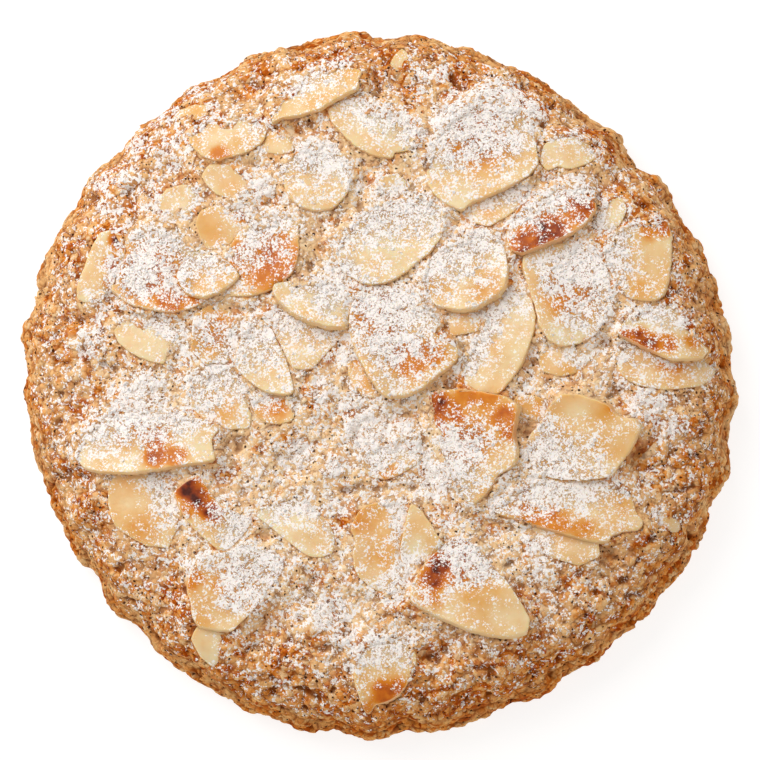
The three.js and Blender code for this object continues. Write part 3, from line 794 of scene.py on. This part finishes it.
flake(2, 30, [
    (20.6, -9.8), (21.3, -8), (22.7, -6.7), (23.3, -5.3), (24.2, -3.9), (25.5, -2.9), (27.6, -2.9),
    (30, -3.7), (31.7, -4.4), (32.5, -5.5), (33.4, -6.1), (35.1, -6.2), (35.9, -7.2), (35.1, -9.3),
    (34.2, -10.8), (33, -12.5), (32, -13.9), (28.6, -14.4), (24.6, -14.2), (21.6, -13),
], 0.6, [(32, -4.5, 1.3, 0.35)])
flake(2, 5, [
    (7.6, -2.6), (10, -2.2), (12.4, -2.2), (15.4, -2.7), (18, -3.2), (19.7, -4.6), (19.4, -6.5),
    (19, -8.3), (19.5, -10.4), (19.3, -12), (18.4, -13), (17, -13.6), (15.9, -15.6), (14.5, -17.1),
    (13.6, -17.7), (12.3, -17), (10.9, -14.4), (10, -12.1), (9.3, -9.9), (8.8, -7.4), (8.2, -5.1),
], 0.6, [
    (8.6, -4, 1.9, 0.8), (8.9, -7, 1.4, 0.65), (10.6, -5, 1.8, 0.6), (12.8, -3.4, 1.8, 0.45),
    (15.4, -3.6, 1.8, 0.4), (17.5, -6, 1.8, 0.55), (18.6, -8, 1.4, 0.5), (13, -9, 3.5, 0.4),
], 0.4)
flake(2, 270, [
    (-3.2, 6.3), (-2.9, 9), (-1.5, 11.3), (1, 12), (4, 11.2), (6, 10.2), (7.6, 8.7), (9.1, 6.6), (8.3, 5),
    (10.5, 4.6), (11.5, 3), (11.5, 1.7), (10.4, 0.7), (8.4, -0.8), (6.8, -2.2), (4.4, -3.3), (2, -3.4),
    (0.5, -1.9), (-0.8, 0.2), (-1.8, 2.1), (-2.7, 4.3),
], 0.6, [(5, 2, 3, 0.45), (8, 2.5, 2, 0.4), (1, 8, 3.5, 0.45)])


CLOUD_SIZE = 4.5
PATCH_SIZE = 1.6
WAX_GRAIN = 0.6
WAX_RELIEF = 0.1
IVORY = "#F3E2BA"
GOLDEN = "#E6AC5A"
CUT_EDGE_HIGHLIGHT = "#FFD9A4"
TOAST_COLOURS = ((0.0, "#E4AC54"), (0.3, "#DE8C20"), (0.55, "#C86808"), (0.8, "#963A02"), (1.0, "#521602"))


def toasted_almond():
    """Blanched almond, dried in the oven: smooth, waxy ivory that lets light in, golden to burnt where it
    toasted, with a painted highlight that lightens and warms the cut edge."""
    material, tree, shader = new_material("toasted_almond")
    place = add_node(tree, "ShaderNodeTexCoord", out=3)
    tone, toast, cut = [
        add_node(tree, "ShaderNodeAttribute", attribute_name=name, out=2)
        for name in ("tone", "toast", "cut")
    ]
    cloud, patchy, fine = [
        add_node(tree, "ShaderNodeTexNoise", {"Vector": place, "Scale": 1 / (size * MM), "Detail": detail})
        for size, detail in ((CLOUD_SIZE, 3.0), (PATCH_SIZE, 4.0), (WAX_GRAIN, 2.0))
    ]
    shade = add_node(tree, "ShaderNodeMath", {0: cloud, 1: 2.0, 2: tone}, operation="MULTIPLY_ADD")
    warm = add_node(tree, "ShaderNodeMapRange", {0: shade, 1: 0.95, 2: 1.95})
    uneven = add_node(tree, "ShaderNodeMapRange", {0: patchy, 1: 0.25, 2: 0.75, 3: 0.55, 4: 1.35})
    depth = add_node(tree, "ShaderNodeMath", {0: toast, 1: uneven}, operation="MULTIPLY")
    browned = fill_ramp(add_node(tree, "ShaderNodeValToRGB", {"Fac": depth}), TOAST_COLOURS)
    share = add_node(tree, "ShaderNodeMapRange", {0: depth, 1: 0.02, 2: 0.3})
    # Painted highlight: the rim rings are lightened and warmed, standing in for light through the thin edge.
    paler = add_node(tree, "ShaderNodeMath", {0: cut, 1: 0.6}, operation="MULTIPLY")
    colour = linear(IVORY)
    for part, tint in ((warm, linear(GOLDEN)), (share, browned), (paler, linear(CUT_EDGE_HIGHLIGHT))):
        colour = add_node(tree, "ShaderNodeMix", {0: part, 6: colour, 7: tint}, 2, data_type="RGBA")
    dusted, dust = add_dust(tree, place, colour, FLECK_ON_FLAKES, 0.95)
    bump = add_node(tree, "ShaderNodeBump", {"Strength": 0.6, "Distance": WAX_RELIEF * MM, "Height": fine})
    dull = add_node(tree, "ShaderNodeMapRange", {0: dust, 3: 0.45, 4: 0.9})
    waxy = add_node(tree, "ShaderNodeMapRange", {0: dust, 3: 0.5, 4: 0.1})
    set_shader(shader, Base_Color=dusted, Normal=bump, Roughness=dull, Specular_IOR_Level=0.28,
               Subsurface_Weight=waxy, Subsurface_Radius=(1.0, 0.65, 0.3), Subsurface_Scale=1.4 * MM)
    return material


# Each flake gives way under those that lie on it. The dough sank under them, swelled up against their
# raised edges and ran in crumbs over their low ones.
LAYER_GAP = 0.02
DOUGH_BELOW = 0.3
RIM_INSIDE = 0.5
SWELL_MOST = 1.4
SWELL_REACH = 2.6
SWELL_FALL = 1.1
LAP_MOST = 1.4
LAP_HEIGHT = 0.15
LAP_HEAP = 0.2
LAP_PATCH = 2.3
LAP_CLEAR = 0.8
LAP_SHARE = 0.42
LAP_UNEVEN = 1.6
LAP_CROWN = 1.2
DRIFT_REACH = 1.2
DRIFT_FALL = 1.3
HEAP_CLEAR = 1.8
DOUGH_HOLLOWS = [
    (6.7, -37.7, 1.2, 1), (-18.8, -9.3, 1.3, 0.7), (20.8, -7.6, 1.1, 0.9), (35.4, -11.2, 1.5, 1),
    (31.3, -24, 1.4, 1), (-14.4, -21.4, 1, 0.9), (-10.5, 33.5, 1.2, 0.7), (12.3, 3.6, 0.8, 0.6),
]
HOLLOW_SHADE = 0.16
PLUMB = Vector((0, 0, 1))
flake_trees = [BVHTree.FromPolygons(p.tolist(), f) for p, f in zip(flake_points, flake_faces)]
flake_boxes = [(p[:, :2].min(axis=0), p[:, :2].max(axis=0)) for p in flake_points]
for lower, places in enumerate(flake_points):
    for upper in range(lower + 1, len(flake_points)):
        low, high = flake_boxes[upper]
        for i in np.nonzero(np.all((places[:, :2] > low) & (places[:, :2] < high), axis=1))[0]:
            bed = flake_trees[upper].ray_cast(Vector((places[i, 0], places[i, 1], 0)), PLUMB)[0]
            if bed is not None:
                places[i, 2] = min(places[i, 2], bed.z - LAYER_GAP)
starts = np.cumsum([0] + [len(p) for p in flake_points])
almond_points = np.vstack(flake_points)
almond_faces = [[i + start for i in face] for faces, start in zip(flake_faces, starts) for face in faces]
almond_tree = BVHTree.FromPolygons(almond_points.tolist(), almond_faces)
face_flakes = np.repeat(np.arange(len(flake_faces)), [len(faces) for faces in flake_faces])


def from_above(x, y):
    """The height of the flake that a plumb line from above meets first, and its number, or None twice."""
    hit, _, face, _ = almond_tree.ray_cast(Vector((x, y, 2 * DOUGH_HEIGHT)), -PLUMB)
    return (None, None) if hit is None else (hit.z, face_flakes[face])


for number, rim in enumerate(flake_rims):
    outward = rim[:, :2] - rim[:, :2].mean(axis=0)
    beyond = rim[:, :2] + LAP_CLEAR * outward / np.linalg.norm(outward, axis=1)[:, None]
    for i, (x, y) in enumerate(beyond):
        if from_above(x, y)[1] not in (None, number):
            flake_laps[number][i] = 0
dough_points = read_points(dough.data)
dough_heights = dough_points[:, 2].copy()
uncovered = np.ones(len(dough_points))
drifted = np.zeros(len(dough_points))
heaped = np.ones(len(dough_points))
rim_places = np.vstack(flake_rims)
rim_laps = np.concatenate(flake_laps)
rim_steps = np.concatenate(flake_steps)
rim_tree = KDTree(len(rim_places))
for i, (x, y, _) in enumerate(rim_places):
    rim_tree.insert((x, y, 0), i)
rim_tree.balance()
for i in np.nonzero(dough_points[:, 2] > WAIST_SHARE * DOUGH_HEIGHT)[0]:
    x, y, z = dough_points[i]
    top, number = from_above(x, y)
    if top is None:
        _, nearest, gap = rim_tree.find(Vector((x, y, 0)))
        step = rim_steps[nearest]
        goal = rim_places[nearest, 2] - step + (step + LAP_HEIGHT) * rim_laps[nearest]
        rise = np.clip(goal - z, 0, SWELL_MOST)
        dough_points[i, 2] += rise * np.clip(SWELL_FALL - gap / SWELL_REACH, 0, 1)
        drifted[i] = rim_laps[nearest] * np.clip(DRIFT_FALL - gap / DRIFT_REACH, 0, 1)
        heaped[i] = np.clip(gap / HEAP_CLEAR, LAP_HEAP, 1)
        continue
    gaps = np.hypot(flake_rims[number][:, 0] - x, flake_rims[number][:, 1] - y)
    nearest = int(np.argmin(gaps))
    patch = noise.noise(Vector((x / LAP_PATCH, y / LAP_PATCH, number)))
    lap = LAP_MOST * flake_laps[number][nearest] * np.clip(LAP_SHARE + LAP_UNEVEN * patch, 0, 1)
    if gaps[nearest] < lap:
        drifted[i] = 1
        heaped[i] = LAP_HEAP
        dough_points[i, 2] = max(z, top + LAP_HEIGHT * (LAP_CROWN - gaps[nearest] / lap))
        continue
    uncovered[i] = 0
    at_rim = gaps[nearest] < RIM_INSIDE
    dough_points[i, 2] = top - flake_steps[number][nearest] if at_rim else min(z, top - DOUGH_BELOW)
sunk = uncovered * spots(dough_points, DOUGH_HOLLOWS)
dough_points[:, 2] -= sunk
dough.data.vertices.foreach_set("co", (dough_points * MM).ravel())
hollow_values = dough.data.attributes["hollow"].data
hollows = np.empty(len(dough_points), dtype=np.float32)
hollow_values.foreach_get("value", hollows)
hollow_values.foreach_set("value", (hollows + HOLLOW_SHADE * MM * sunk).astype(np.float32))
rest_values = dough.data.attributes["rest"].data
rests = np.empty(len(dough_points) * 3, dtype=np.float32)
rest_values.foreach_get("vector", rests)
rests[2::3] += (dough_points[:, 2] - dough_heights) * MM
rest_values.foreach_set("vector", rests)

almonds = make_piece("flaked_almonds", almond_points, almond_faces)
almonds.data.materials.append(toasted_almond())
almond_marks = np.vstack(flake_marks)
for column, name in enumerate(("toast", "tone", "cut")):
    write_values(almonds.data, name, almond_marks[:, column])
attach(almonds, "root")

# Ground nuts: broken hazelnut and almond about a millimetre across, cream to brown. They were stirred into
# the dough, and the coarsest stand half out of the crust where no flake lies.
CRUMB_SIZE = 1.2
CRUMBS_PER_MM2 = 0.6
CRUMB_FOOT = 3
CRUMB_FADE = 8
FULL_TURN = 6.283


def strewn(name, attribute, lace_name):
    """The tree that strews copies of a small shape over a surface, as densely as a value there says."""
    tree, given = new_tree(name, {
        "Shape": "Object", "Size": "Float", "Least share": "Float", "Most share": "Float",
        "Per square metre": "Float", "Sink": "Float", "Seed": "Int", "Material": "Material",
    })
    cover = add_node(tree, "GeometryNodeInputNamedAttribute", {"Name": attribute}, data_type="FLOAT")
    density = add_node(tree, "ShaderNodeMath", {0: cover, 1: given["Per square metre"]},
                       operation="MULTIPLY")
    points = add_node(tree, "GeometryNodeDistributePointsOnFaces",
                      {"Mesh": given["Geometry"], "Density": density, "Seed": given["Seed"]})
    normal = points.node.outputs["Normal"]
    depth = add_node(tree, "ShaderNodeMath", {0: given["Size"], 1: given["Sink"]}, operation="MULTIPLY")
    down = add_node(tree, "ShaderNodeVectorMath", {0: normal, "Scale": depth}, operation="SCALE")
    if lace_name:
        place = add_node(tree, "GeometryNodeInputPosition")
        sifted = add_node(tree, "GeometryNodeInputNamedAttribute", {"Name": lace_name}, data_type="FLOAT")
        lace = add_lace(tree, place, sifted, FLECK_SIZE)
        pore = add_node(tree, "ShaderNodeMath", {0: lace, 1: 0.0}, operation="LESS_THAN")
        points = add_node(tree, "GeometryNodeDeleteGeometry", {"Geometry": points, "Selection": pore},
                          domain="POINT")
    seated = add_node(tree, "GeometryNodeSetPosition", {"Geometry": points, "Offset": down})
    source = add_node(tree, "GeometryNodeObjectInfo", {"Object": given["Shape"]})
    shape = source.node.outputs["Geometry"]
    spin = add_node(tree, "FunctionNodeRandomValue", {"Max": (FULL_TURN,) * 3, "Seed": given["Seed"]},
                    data_type="FLOAT_VECTOR")
    turn = add_node(tree, "FunctionNodeEulerToRotation", {"Euler": spin})
    spread = add_node(tree, "FunctionNodeRandomValue",
                      {"Min": given["Least share"], "Max": given["Most share"], "Seed": given["Seed"]},
                      data_type="FLOAT_VECTOR")
    sized = add_node(tree, "ShaderNodeVectorMath", {0: spread, "Scale": given["Size"]}, operation="SCALE")
    copies = add_node(tree, "GeometryNodeInstanceOnPoints",
                      {"Points": seated, "Instance": shape, "Rotation": turn, "Scale": sized})
    tone = add_node(tree, "FunctionNodeRandomValue", {"Seed": given["Seed"]}, 1, data_type="FLOAT")
    toned = add_node(tree, "GeometryNodeStoreNamedAttribute",
                     {"Geometry": copies, "Name": "tone", "Value": tone},
                     data_type="FLOAT", domain="INSTANCE")
    real = add_node(tree, "GeometryNodeRealizeInstances", {"Geometry": toned})
    # How far each face looks up, which the painted flank shade of the sugar reads.
    facing = add_node(tree, "GeometryNodeInputNormal")
    upward = add_node(tree, "ShaderNodeSeparateXYZ", {0: facing}, 2)
    faced = add_node(tree, "GeometryNodeStoreNamedAttribute",
                     {"Geometry": real, "Name": "upward", "Value": upward},
                     data_type="FLOAT", domain="FACE")
    done = add_node(tree, "GeometryNodeSetMaterial", {"Geometry": faced, "Material": given["Material"]})
    add_node(tree, "NodeGroupOutput", {"Geometry": done})
    return tree


def broken_bit(name, corners, seed):
    """A small closed shape, one unit across, round some corners at random."""
    draw = np.random.default_rng(seed)
    places = draw.normal(size=(corners, 3))
    places *= (0.5 * draw.uniform(0.8, 1.1, corners) / np.linalg.norm(places, axis=1))[:, None]
    shell = bmesh.new()
    for place in places:
        shell.verts.new(place)
    bmesh.ops.convex_hull(shell, input=shell.verts)
    bmesh.ops.recalc_face_normals(shell, faces=shell.faces)
    mesh = bpy.data.meshes.new(name)
    shell.to_mesh(mesh)
    shell.free()
    return show(name, mesh)


high_enough = np.clip((dough_points[:, 2] - CRUMB_FOOT) / CRUMB_FADE, 0, 1)
write_values(dough.data, "crumbs", uncovered * high_enough)
crumb_shape = broken_bit("crumb_shape", 12, 5)
crumb_shape.data.shade_smooth()
crumbs = show("ground_nuts", grow(dough, strewn("strewn nuts", "crumbs", None), {
    "Shape": crumb_shape, "Size": CRUMB_SIZE * MM, "Least share": 0.5, "Most share": 1.4,
    "Per square metre": CRUMBS_PER_MM2 / MM**2, "Sink": -0.3, "Seed": 5,
    "Material": baked_dough("baked_ground_nuts", True),
}))
bpy.data.objects.remove(crumb_shape)
write_values(crumbs.data, "browned", browning(read_points(crumbs.data)))
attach(crumbs, "root")

# Icing sugar: finely milled sugar sifted straight down over the baked top. It lies as lacy drifts and loose
# specks on what faces up, thick in places and thin on the smooth flakes. It is missing under raised edges
# and low on the side.
SUGAR_BASE = 0.38
SUGAR_RIM = (34, 46.5)
SUGAR_STRAY = 0.15
SUGAR_FOOT = 3.5
SUGAR_FADE = 5
SUGAR_MOST = 0.88
LAP_SUGAR = 0.35
LOW_SUGAR = 0.38
CLUMP_SIZE = 1.3
SUGAR_FLANK_SHADE = "#F4D6B8"
HEAP_MOST = 0.38
HEAP_COVER = (0.4, 0.8)
HEAP_CROWN = 1.1
HEAP_FALL = 1.5
CLUMP_COVER = (0.3, 0.8)
STEEPEST = 0.15
STEEP_FADE = 0.4
SKY_CLEAR = 0.12
SUGAR_DRIFTS = [
    (17, 36.5, 4.5, 0.95), (11.5, 34, 4, 0.95), (20.5, 35, 3, 0.8), (14.5, 31.5, 3.5, 0.95),
    (18.5, 31, 2.5, 0.8), (10.5, 29, 2.5, 0.75), (4, 36, 2.5, 0.5), (9, 41, 2, 0.6),
    (5.8, 39.5, 2.4, 0.6), (6, 43, 2, 0.45), (-8, 29.5, 3.5, 0.85), (-14.5, 25.7, 2, 0.9),
    (-11, 27.5, 3, 0.6), (-5, 25, 2.5, 0.5), (-17, 32.5, 2, 0.4), (-28, 33, 3, 0.5),
    (-27.5, 29, 2.5, 0.65), (-30, 23.5, 2, 0.65), (-29.5, 26.5, 2.2, 0.55), (-37, 27, 2.2, 0.7),
    (-33, 27.5, 2.6, 0.65), (-36, 23, 2.3, 0.65), (-28, 31.5, 2.4, 0.6), (-24, 39.4, 2, 0.65),
    (-14, 38.5, 2, 0.45), (-37, 8.5, 1.6, 0.5), (-20, 40, 1.8, 0.45), (-28.3, 36, 2.2, 0.7),
    (-32.5, 32, 2.2, 0.65), (-29.5, 20, 2, 0.5), (-33, 25.5, 1.5, 0.35), (-14, 18.5, 2.8, 0.65),
    (-12.5, 20, 1.8, 0.7), (-15, 16, 2, 0.55), (-31.5, 13.8, 4, 0.95), (-26, 13, 3, 0.85),
    (-34, 11, 2.5, 0.55), (-26, 15.5, 2.5, 0.5), (-20, 17.5, 1.3, 0.45), (-38, 5, 2.6, 0.75),
    (-43, 5, 1.5, 0.3), (-22, 6, 3, 0.75), (-24, 4, 2.5, 0.65), (-26, 0.5, 2.5, 0.6), (-17, 1, 2, 0.6),
    (-16.5, 4, 1.5, 0.45), (-31, -3, 4.3, 0.92), (-35, -3.5, 2.5, 0.65), (-22, -3, 3, 0.75),
    (-26.5, -7.5, 2.5, 0.55), (-36.5, -8.5, 2.5, 0.45), (-42.5, -9, 1.8, 0.4), (-4, 13.5, 2.8, 0.9),
    (-6, 10, 3, 0.75), (-1, 10.5, 3, 0.9), (3.5, 8.5, 4, 0.95), (2, 4, 4, 0.85), (6, 4, 2.5, 0.75),
    (2, -1, 3.5, 0.6), (8, 3.5, 2, 0.55), (14, 4.5, 2.5, 0.5), (-6.5, -2, 2.5, 0.8),
    (-2.5, -3.5, 2.5, 0.7), (-6.5, 2, 2, 0.55), (-1, -7.5, 4, 0.95), (4, -8, 3, 0.8),
    (0.5, -11.5, 2.5, 0.85), (-5, -12.5, 2, 0.95), (-5.5, -17.5, 2.2, 0.75), (-10, -10.5, 3, 0.8),
    (-15.5, -13, 2.2, 0.65), (-19, -15.5, 2.5, 0.5), (8.5, -14, 3.2, 0.98), (12.5, -13, 2.5, 0.8),
    (13, -9.5, 3.5, 0.75), (17, -9, 2, 0.5), (5, -13.5, 2.5, 0.7), (3, -16.5, 2, 0.4),
    (14, 17.5, 2.5, 0.85), (11, 14.5, 3, 0.75), (8.5, 11.5, 2, 0.65), (10, 20, 2, 0.45),
    (3, 18, 2.5, 0.4), (-1, 20.5, 1.5, 0.4), (28, 25.5, 2.5, 0.75), (25, 24, 2, 0.55),
    (20.5, 22.5, 1.5, 0.6), (33.5, 22, 2, 0.45), (26.5, 19.5, 2, 0.5), (26.5, 14.3, 4, 0.92),
    (30, 14, 2, 0.8), (22, 15, 2, 0.65), (27.5, 8, 3.2, 0.75), (35, 7.8, 2.2, 0.65), (24.5, 12.5, 3, 0.8),
    (39, 7, 2.5, 0.6), (20.5, 8.5, 2, 0.55), (30, 10, 2.5, 0.6), (37.5, 8, 1.5, 0.5), (30.2, 2.2, 2, 0.6),
    (31.5, -1, 2.2, 0.55), (36.5, -4, 3, 0.85), (39.5, -6.5, 2.5, 0.75), (33.5, -1.5, 2, 0.6),
    (40, -9.5, 2, 0.5), (23.5, -1.5, 2, 0.35), (10.5, -1, 1.5, 0.35), (21, -17.5, 2.5, 0.65),
    (24.5, -15.5, 2.5, 0.55), (23, -13, 2, 0.35), (30, -16, 2.5, 0.25), (22.5, -25.5, 3, 0.7),
    (18.5, -25, 1.5, 0.5), (27, -31, 1.5, 0.35), (41.5, -18.5, 2, 0.25), (11, -22.3, 2, 0.4),
    (8, -24, 2, 0.3), (-17.5, -26.5, 3.5, 0.85), (-24, -25, 2.5, 0.6), (-18.5, -30, 2.6, 0.8),
    (-15.5, -29, 2.2, 0.75), (-13.5, -26.5, 2, 0.5), (-22, -20.5, 2, 0.4), (-20, -16.5, 2.5, 0.45),
    (-28.3, -16.3, 1.7, 0.5), (-13, -20, 2, 0.3), (-5.5, -32, 3.2, 0.85), (-4, -35, 2.5, 0.75),
    (-10.5, -31, 2.5, 0.6), (-7, -28.5, 2.5, 0.5), (1, -34, 2.5, 0.4), (-2, -39, 2, 0.4),
    (4, -36, 1.5, 0.4), (8, -41, 2, 0.25), (-4.5, 39.5, 1.5, 0.55), (-7, 37.5, 2.5, 0.3),
    (-12, 40.5, 1.5, 0.3), (-2, 43.5, 1.5, 0.25), (1, 34, 2, 0.4), (-18, 37, 1.5, 0.3),
]
SUGAR_BARE = [
    (-12.5, 36, 2.2, 0.7), (-3, 31.5, 1.5, 0.9), (0, 29.5, 1.5, 0.9), (3.5, 29, 1.5, 0.8),
    (-19, 32.5, 2.5, 0.6), (-20.5, 30.5, 1.5, 0.5), (-22, 32, 1.5, 0.4), (-20, 26.5, 3, 0.8),
    (-22.5, 20, 3, 0.85), (-20, 19, 2.5, 0.8), (-9.5, 13.5, 1.5, 0.8), (-8.3, 17, 1.9, 0.8),
    (-38, 14, 2, 0.6), (-32.5, 5, 2.5, 0.8), (-30, 4, 2, 0.5), (-13, 31.5, 2.2, 0.6),
    (37.5, 17.5, 2.5, 0.7), (18, 2, 2.2, 0.8), (16, -1, 2, 0.8), (19.5, 6, 1.8, 0.7), (25.5, 30, 2, 0.5),
    (11.5, 7, 2, 0.6), (24, 1.5, 2.5, 0.5), (27, -4, 3, 0.9), (30.5, -4.5, 2.5, 0.9), (33, -8, 2, 0.7),
    (12, -2.8, 2, 0.9), (15.5, -3, 2, 0.9), (17.5, -5, 1.5, 0.7), (8.8, -5, 1, 0.6), (21, -5, 1.5, 0.6),
    (22, -20.3, 1.5, 0.7), (26, -20.8, 2, 0.7), (27, -23, 2, 0.6), (-0.5, -20, 2.5, 0.75),
    (0.5, -24, 2.5, 0.6), (6.5, -19.5, 2, 0.8), (6, -22.5, 2, 0.7), (17, -31, 3, 0.8),
    (13, -32, 2.5, 0.6), (19.5, -33, 2, 0.8), (-33.5, -16.5, 3, 0.9), (-32, -20, 2, 0.7),
    (-25, -15.3, 1.5, 0.8), (-22.5, -9.5, 2, 0.5), (-9, -21, 2.5, 0.5), (-24.5, -28, 1.8, 0.6),
    (-21.8, -36, 2.5, 0.8), (2, -43, 2, 0.4), (-12.5, -5.3, 2.5, 0.45), (-1.5, 0.5, 1.5, 0.5),
    (39.9, -20, 1.5, 0.6), (3, 42, 1.8, 0.8), (-25, 36, 2, 0.5), (-26, 23.8, 2, 0.4),
    (34.5, -10.5, 2, 0.8), (20, -8, 1.5, 0.8), (-17, -10, 1.8, 0.8), (-20, 8.5, 1.8, 0.8),
    (-4, 22, 2, 0.7),
]
SUGAR_MELTED = [
    (-24.2, -15.5, 2, 0.85), (-22.6, -17.2, 1.6, 0.8), (8.8, -4.2, 2, 0.8), (10.8, -5, 1.8, 0.7),
    (17.8, -6, 1.6, 0.6), (21, 17.6, 1.8, 0.75), (24.5, 18.8, 2, 0.7), (28.5, 22, 1.5, 0.5),
    (8.4, -26.6, 2, 0.85), (-34.5, 18, 1.5, 0.6), (1.2, -43, 1.8, 0.7), (36, 4.5, 2, 0.6),
    (-28, -11, 1.8, 0.5), (-13.5, 12.5, 2, 0.6), (9, -7.5, 1.2, 0.6),
]


def sugar_cover(places, extra):
    """The share that the sugar covers at each place, before what shades it is taken into account, with some
    extra where it lodged."""
    inner, outer = SUGAR_RIM
    reach = np.clip((outer - np.hypot(places[:, 0], places[:, 1])) / (outer - inner), 0, 1)
    high = np.clip((places[:, 2] - SUGAR_FOOT) / SUGAR_FADE, 0, 1)
    thin = (SUGAR_BASE * reach + SUGAR_STRAY * (1 - reach) + extra) * high
    lying = np.maximum(thin * (1 - spots(places, SUGAR_BARE)), SUGAR_MOST * spots(places, SUGAR_DRIFTS))
    return np.minimum(lying * (1 - spots(places, SUGAR_MELTED + DOUGH_HOLLOWS)), SUGAR_MOST)


def heap_height(places, cover):
    """How high the sugar stands where it fell thick, in round clumps side by side."""
    height = HEAP_MOST * np.interp(cover, HEAP_COVER, (0, 1))
    for i in np.nonzero(height)[0]:
        nearest = noise.voronoi(Vector(places[i]) / CLUMP_SIZE)[0][0]
        height[i] *= max(0, HEAP_CROWN - HEAP_FALL * nearest**2)
    return height


def open_sky(mesh, places):
    """One where sugar that falls straight down can lie, and nought under a flake or on a steep side."""
    normals = np.empty(len(places) * 3, dtype=np.float32)
    mesh.vertex_normals.foreach_get("vector", normals)
    clear = np.clip((normals[2::3] - STEEPEST) / STEEP_FADE, 0, 1)
    for i in np.nonzero(clear)[0]:
        if almond_tree.ray_cast(Vector(places[i]) + SKY_CLEAR * PLUMB, PLUMB)[0] is not None:
            clear[i] = 0
    return clear


def icing_sugar():
    """Icing sugar: a dull powder, very white where it faces up, with a warm painted shade on its flanks that
    stands in for light thrown back from the dough."""
    material, tree, shader = new_material("icing_sugar")
    upward = add_node(tree, "ShaderNodeAttribute", attribute_name="upward", out=2)
    # Painted shade: faces that turn from the sky are tinted warm tan in place of white.
    faces_up_share = add_node(tree, "ShaderNodeMapRange", {0: upward, 1: -0.1, 2: 0.7})
    powder = add_node(tree, "ShaderNodeMix", {0: faces_up_share, 6: linear(SUGAR_FLANK_SHADE), 7: linear(SUGAR_WHITE)}, 2,
                      data_type="RGBA")
    set_shader(shader, Base_Color=powder, Roughness=0.9, Specular_IOR_Level=0.1,
               Subsurface_Weight=0.5, Subsurface_Radius=(1.0, 0.85, 0.7), Subsurface_Scale=0.6 * MM)
    return material


bed_points, bed_faces, bed_cover = [], [], []
lodged = ((dough, LAP_SUGAR * drifted), (crumbs, 0), (almonds, LOW_SUGAR * almond_marks[:, 3]))
for piece, extra in lodged:
    places = read_points(piece.data)
    cover = sugar_cover(places, extra) * open_sky(piece.data, places)
    if piece is dough:
        places[:, 2] += heap_height(places, cover) * heaped
        dough.data.vertices.foreach_set("co", (places * MM).ravel())
    write_values(piece.data, "sugar", cover)
    start = sum(len(p) for p in bed_points)
    bed_faces += [[i + start for i in face.vertices] for face in piece.data.polygons]
    bed_points.append(places)
    bed_cover.append(cover)
sugar_bed = make_piece("sugar_bed", np.vstack(bed_points), bed_faces)
whole_cover = np.concatenate(bed_cover)
write_values(sugar_bed.data, "sugar", whole_cover)
write_values(sugar_bed.data, "heaped", np.interp(whole_cover, CLUMP_COVER, (0, 1)))

SUGAR_KINDS = (
    ("sugar_dust", "sugar", 4, 0.2, 25, 11),
    ("sugar_grains", "sugar", 6, 0.3, 9, 23),
    ("sugar_clumps", "heaped", 14, 0.6, 3, 37),
)
white_powder = icing_sugar()
for name, where, corners, size, per_mm2, seed in SUGAR_KINDS:
    shape = broken_bit(name + "_shape", corners, seed)
    specks = show(name, grow(sugar_bed, strewn(name + " tree", where, "sugar"), {
        "Shape": shape, "Size": size * MM, "Least share": 0.55, "Most share": 1.35,
        "Per square metre": per_mm2 / MM**2, "Sink": -0.1, "Seed": seed, "Material": white_powder,
    }))
    bpy.data.objects.remove(shape)
    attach(specks, "root")
bpy.data.objects.remove(sugar_bed)

# The stage: a pale table that glows a little, as a lit studio floor does, one soft light from the upper left
# in a white room, and the camera almost straight above. The table's side, the light's place and side and the
# camera's distance are in metres.
FLOOR_SIDE = 1.2
FLOOR_GREY = 0.3
FLOOR_GLOW = 0.8
ROOM_COLOUR = (1, 0.945, 0.88, 1)
ROOM_LIGHT = 0.54
bpy.ops.mesh.primitive_plane_add(size=FLOOR_SIDE, location=(0, 0, 0))
floor = bpy.context.object
floor.name = "floor"
floor_material, _, floor_shader = new_material("white_table")
set_shader(floor_shader, Base_Color=(FLOOR_GREY, FLOOR_GREY, FLOOR_GREY, 1), Roughness=0.9,
           Emission_Color=(1, 1, 1, 1), Emission_Strength=FLOOR_GLOW)
floor.data.materials.append(floor_material)

room = bpy.data.worlds.new("white_room")
room.use_nodes = True
room_light = room.node_tree.nodes["Background"].inputs
room_light["Color"].default_value = ROOM_COLOUR
room_light["Strength"].default_value = ROOM_LIGHT
bpy.context.scene.world = room
bpy.context.scene.view_settings.view_transform = "Standard"

KEY_PLACE = (-0.38, 0.42, 0.62)
KEY_SIDE = 0.6
KEY_POWER = 4.8
key_light = bpy.data.lights.new("key", "AREA")
key_light.size = KEY_SIDE
key_light.energy = KEY_POWER
key = bpy.data.objects.new("key", key_light)
key.location = KEY_PLACE
key.rotation_euler = (-Vector(KEY_PLACE)).to_track_quat("-Z", "Y").to_euler()
bpy.context.collection.objects.link(key)

VIEW_TILT = 7
VIEW_TURN = -60
VIEW_WIDTH = 102.76
VIEW_DISTANCE = 1.0
VIEW_HEIGHT = 4
VIEW_AIM = (0.311, 0.419)
tilt, turn = math.radians(VIEW_TILT), math.radians(VIEW_TURN)
back = Vector((math.sin(tilt) * math.cos(turn), math.sin(tilt) * math.sin(turn), math.cos(tilt)))
up = (Vector((0, 1, 0)) - back * back.y).normalized()
right = up.cross(back)
aim = (Vector((0, 0, VIEW_HEIGHT)) + right * VIEW_AIM[0] + up * VIEW_AIM[1]) * MM
lens = bpy.data.cameras.new("camera")
lens.sensor_width = 36
lens.lens = lens.sensor_width * VIEW_DISTANCE / (VIEW_WIDTH * MM)
camera = bpy.data.objects.new("camera", lens)
camera.location = aim + back * VIEW_DISTANCE
camera.rotation_euler = Matrix((right, up, back)).transposed().to_euler()
bpy.context.collection.objects.link(camera)
bpy.context.scene.camera = camera
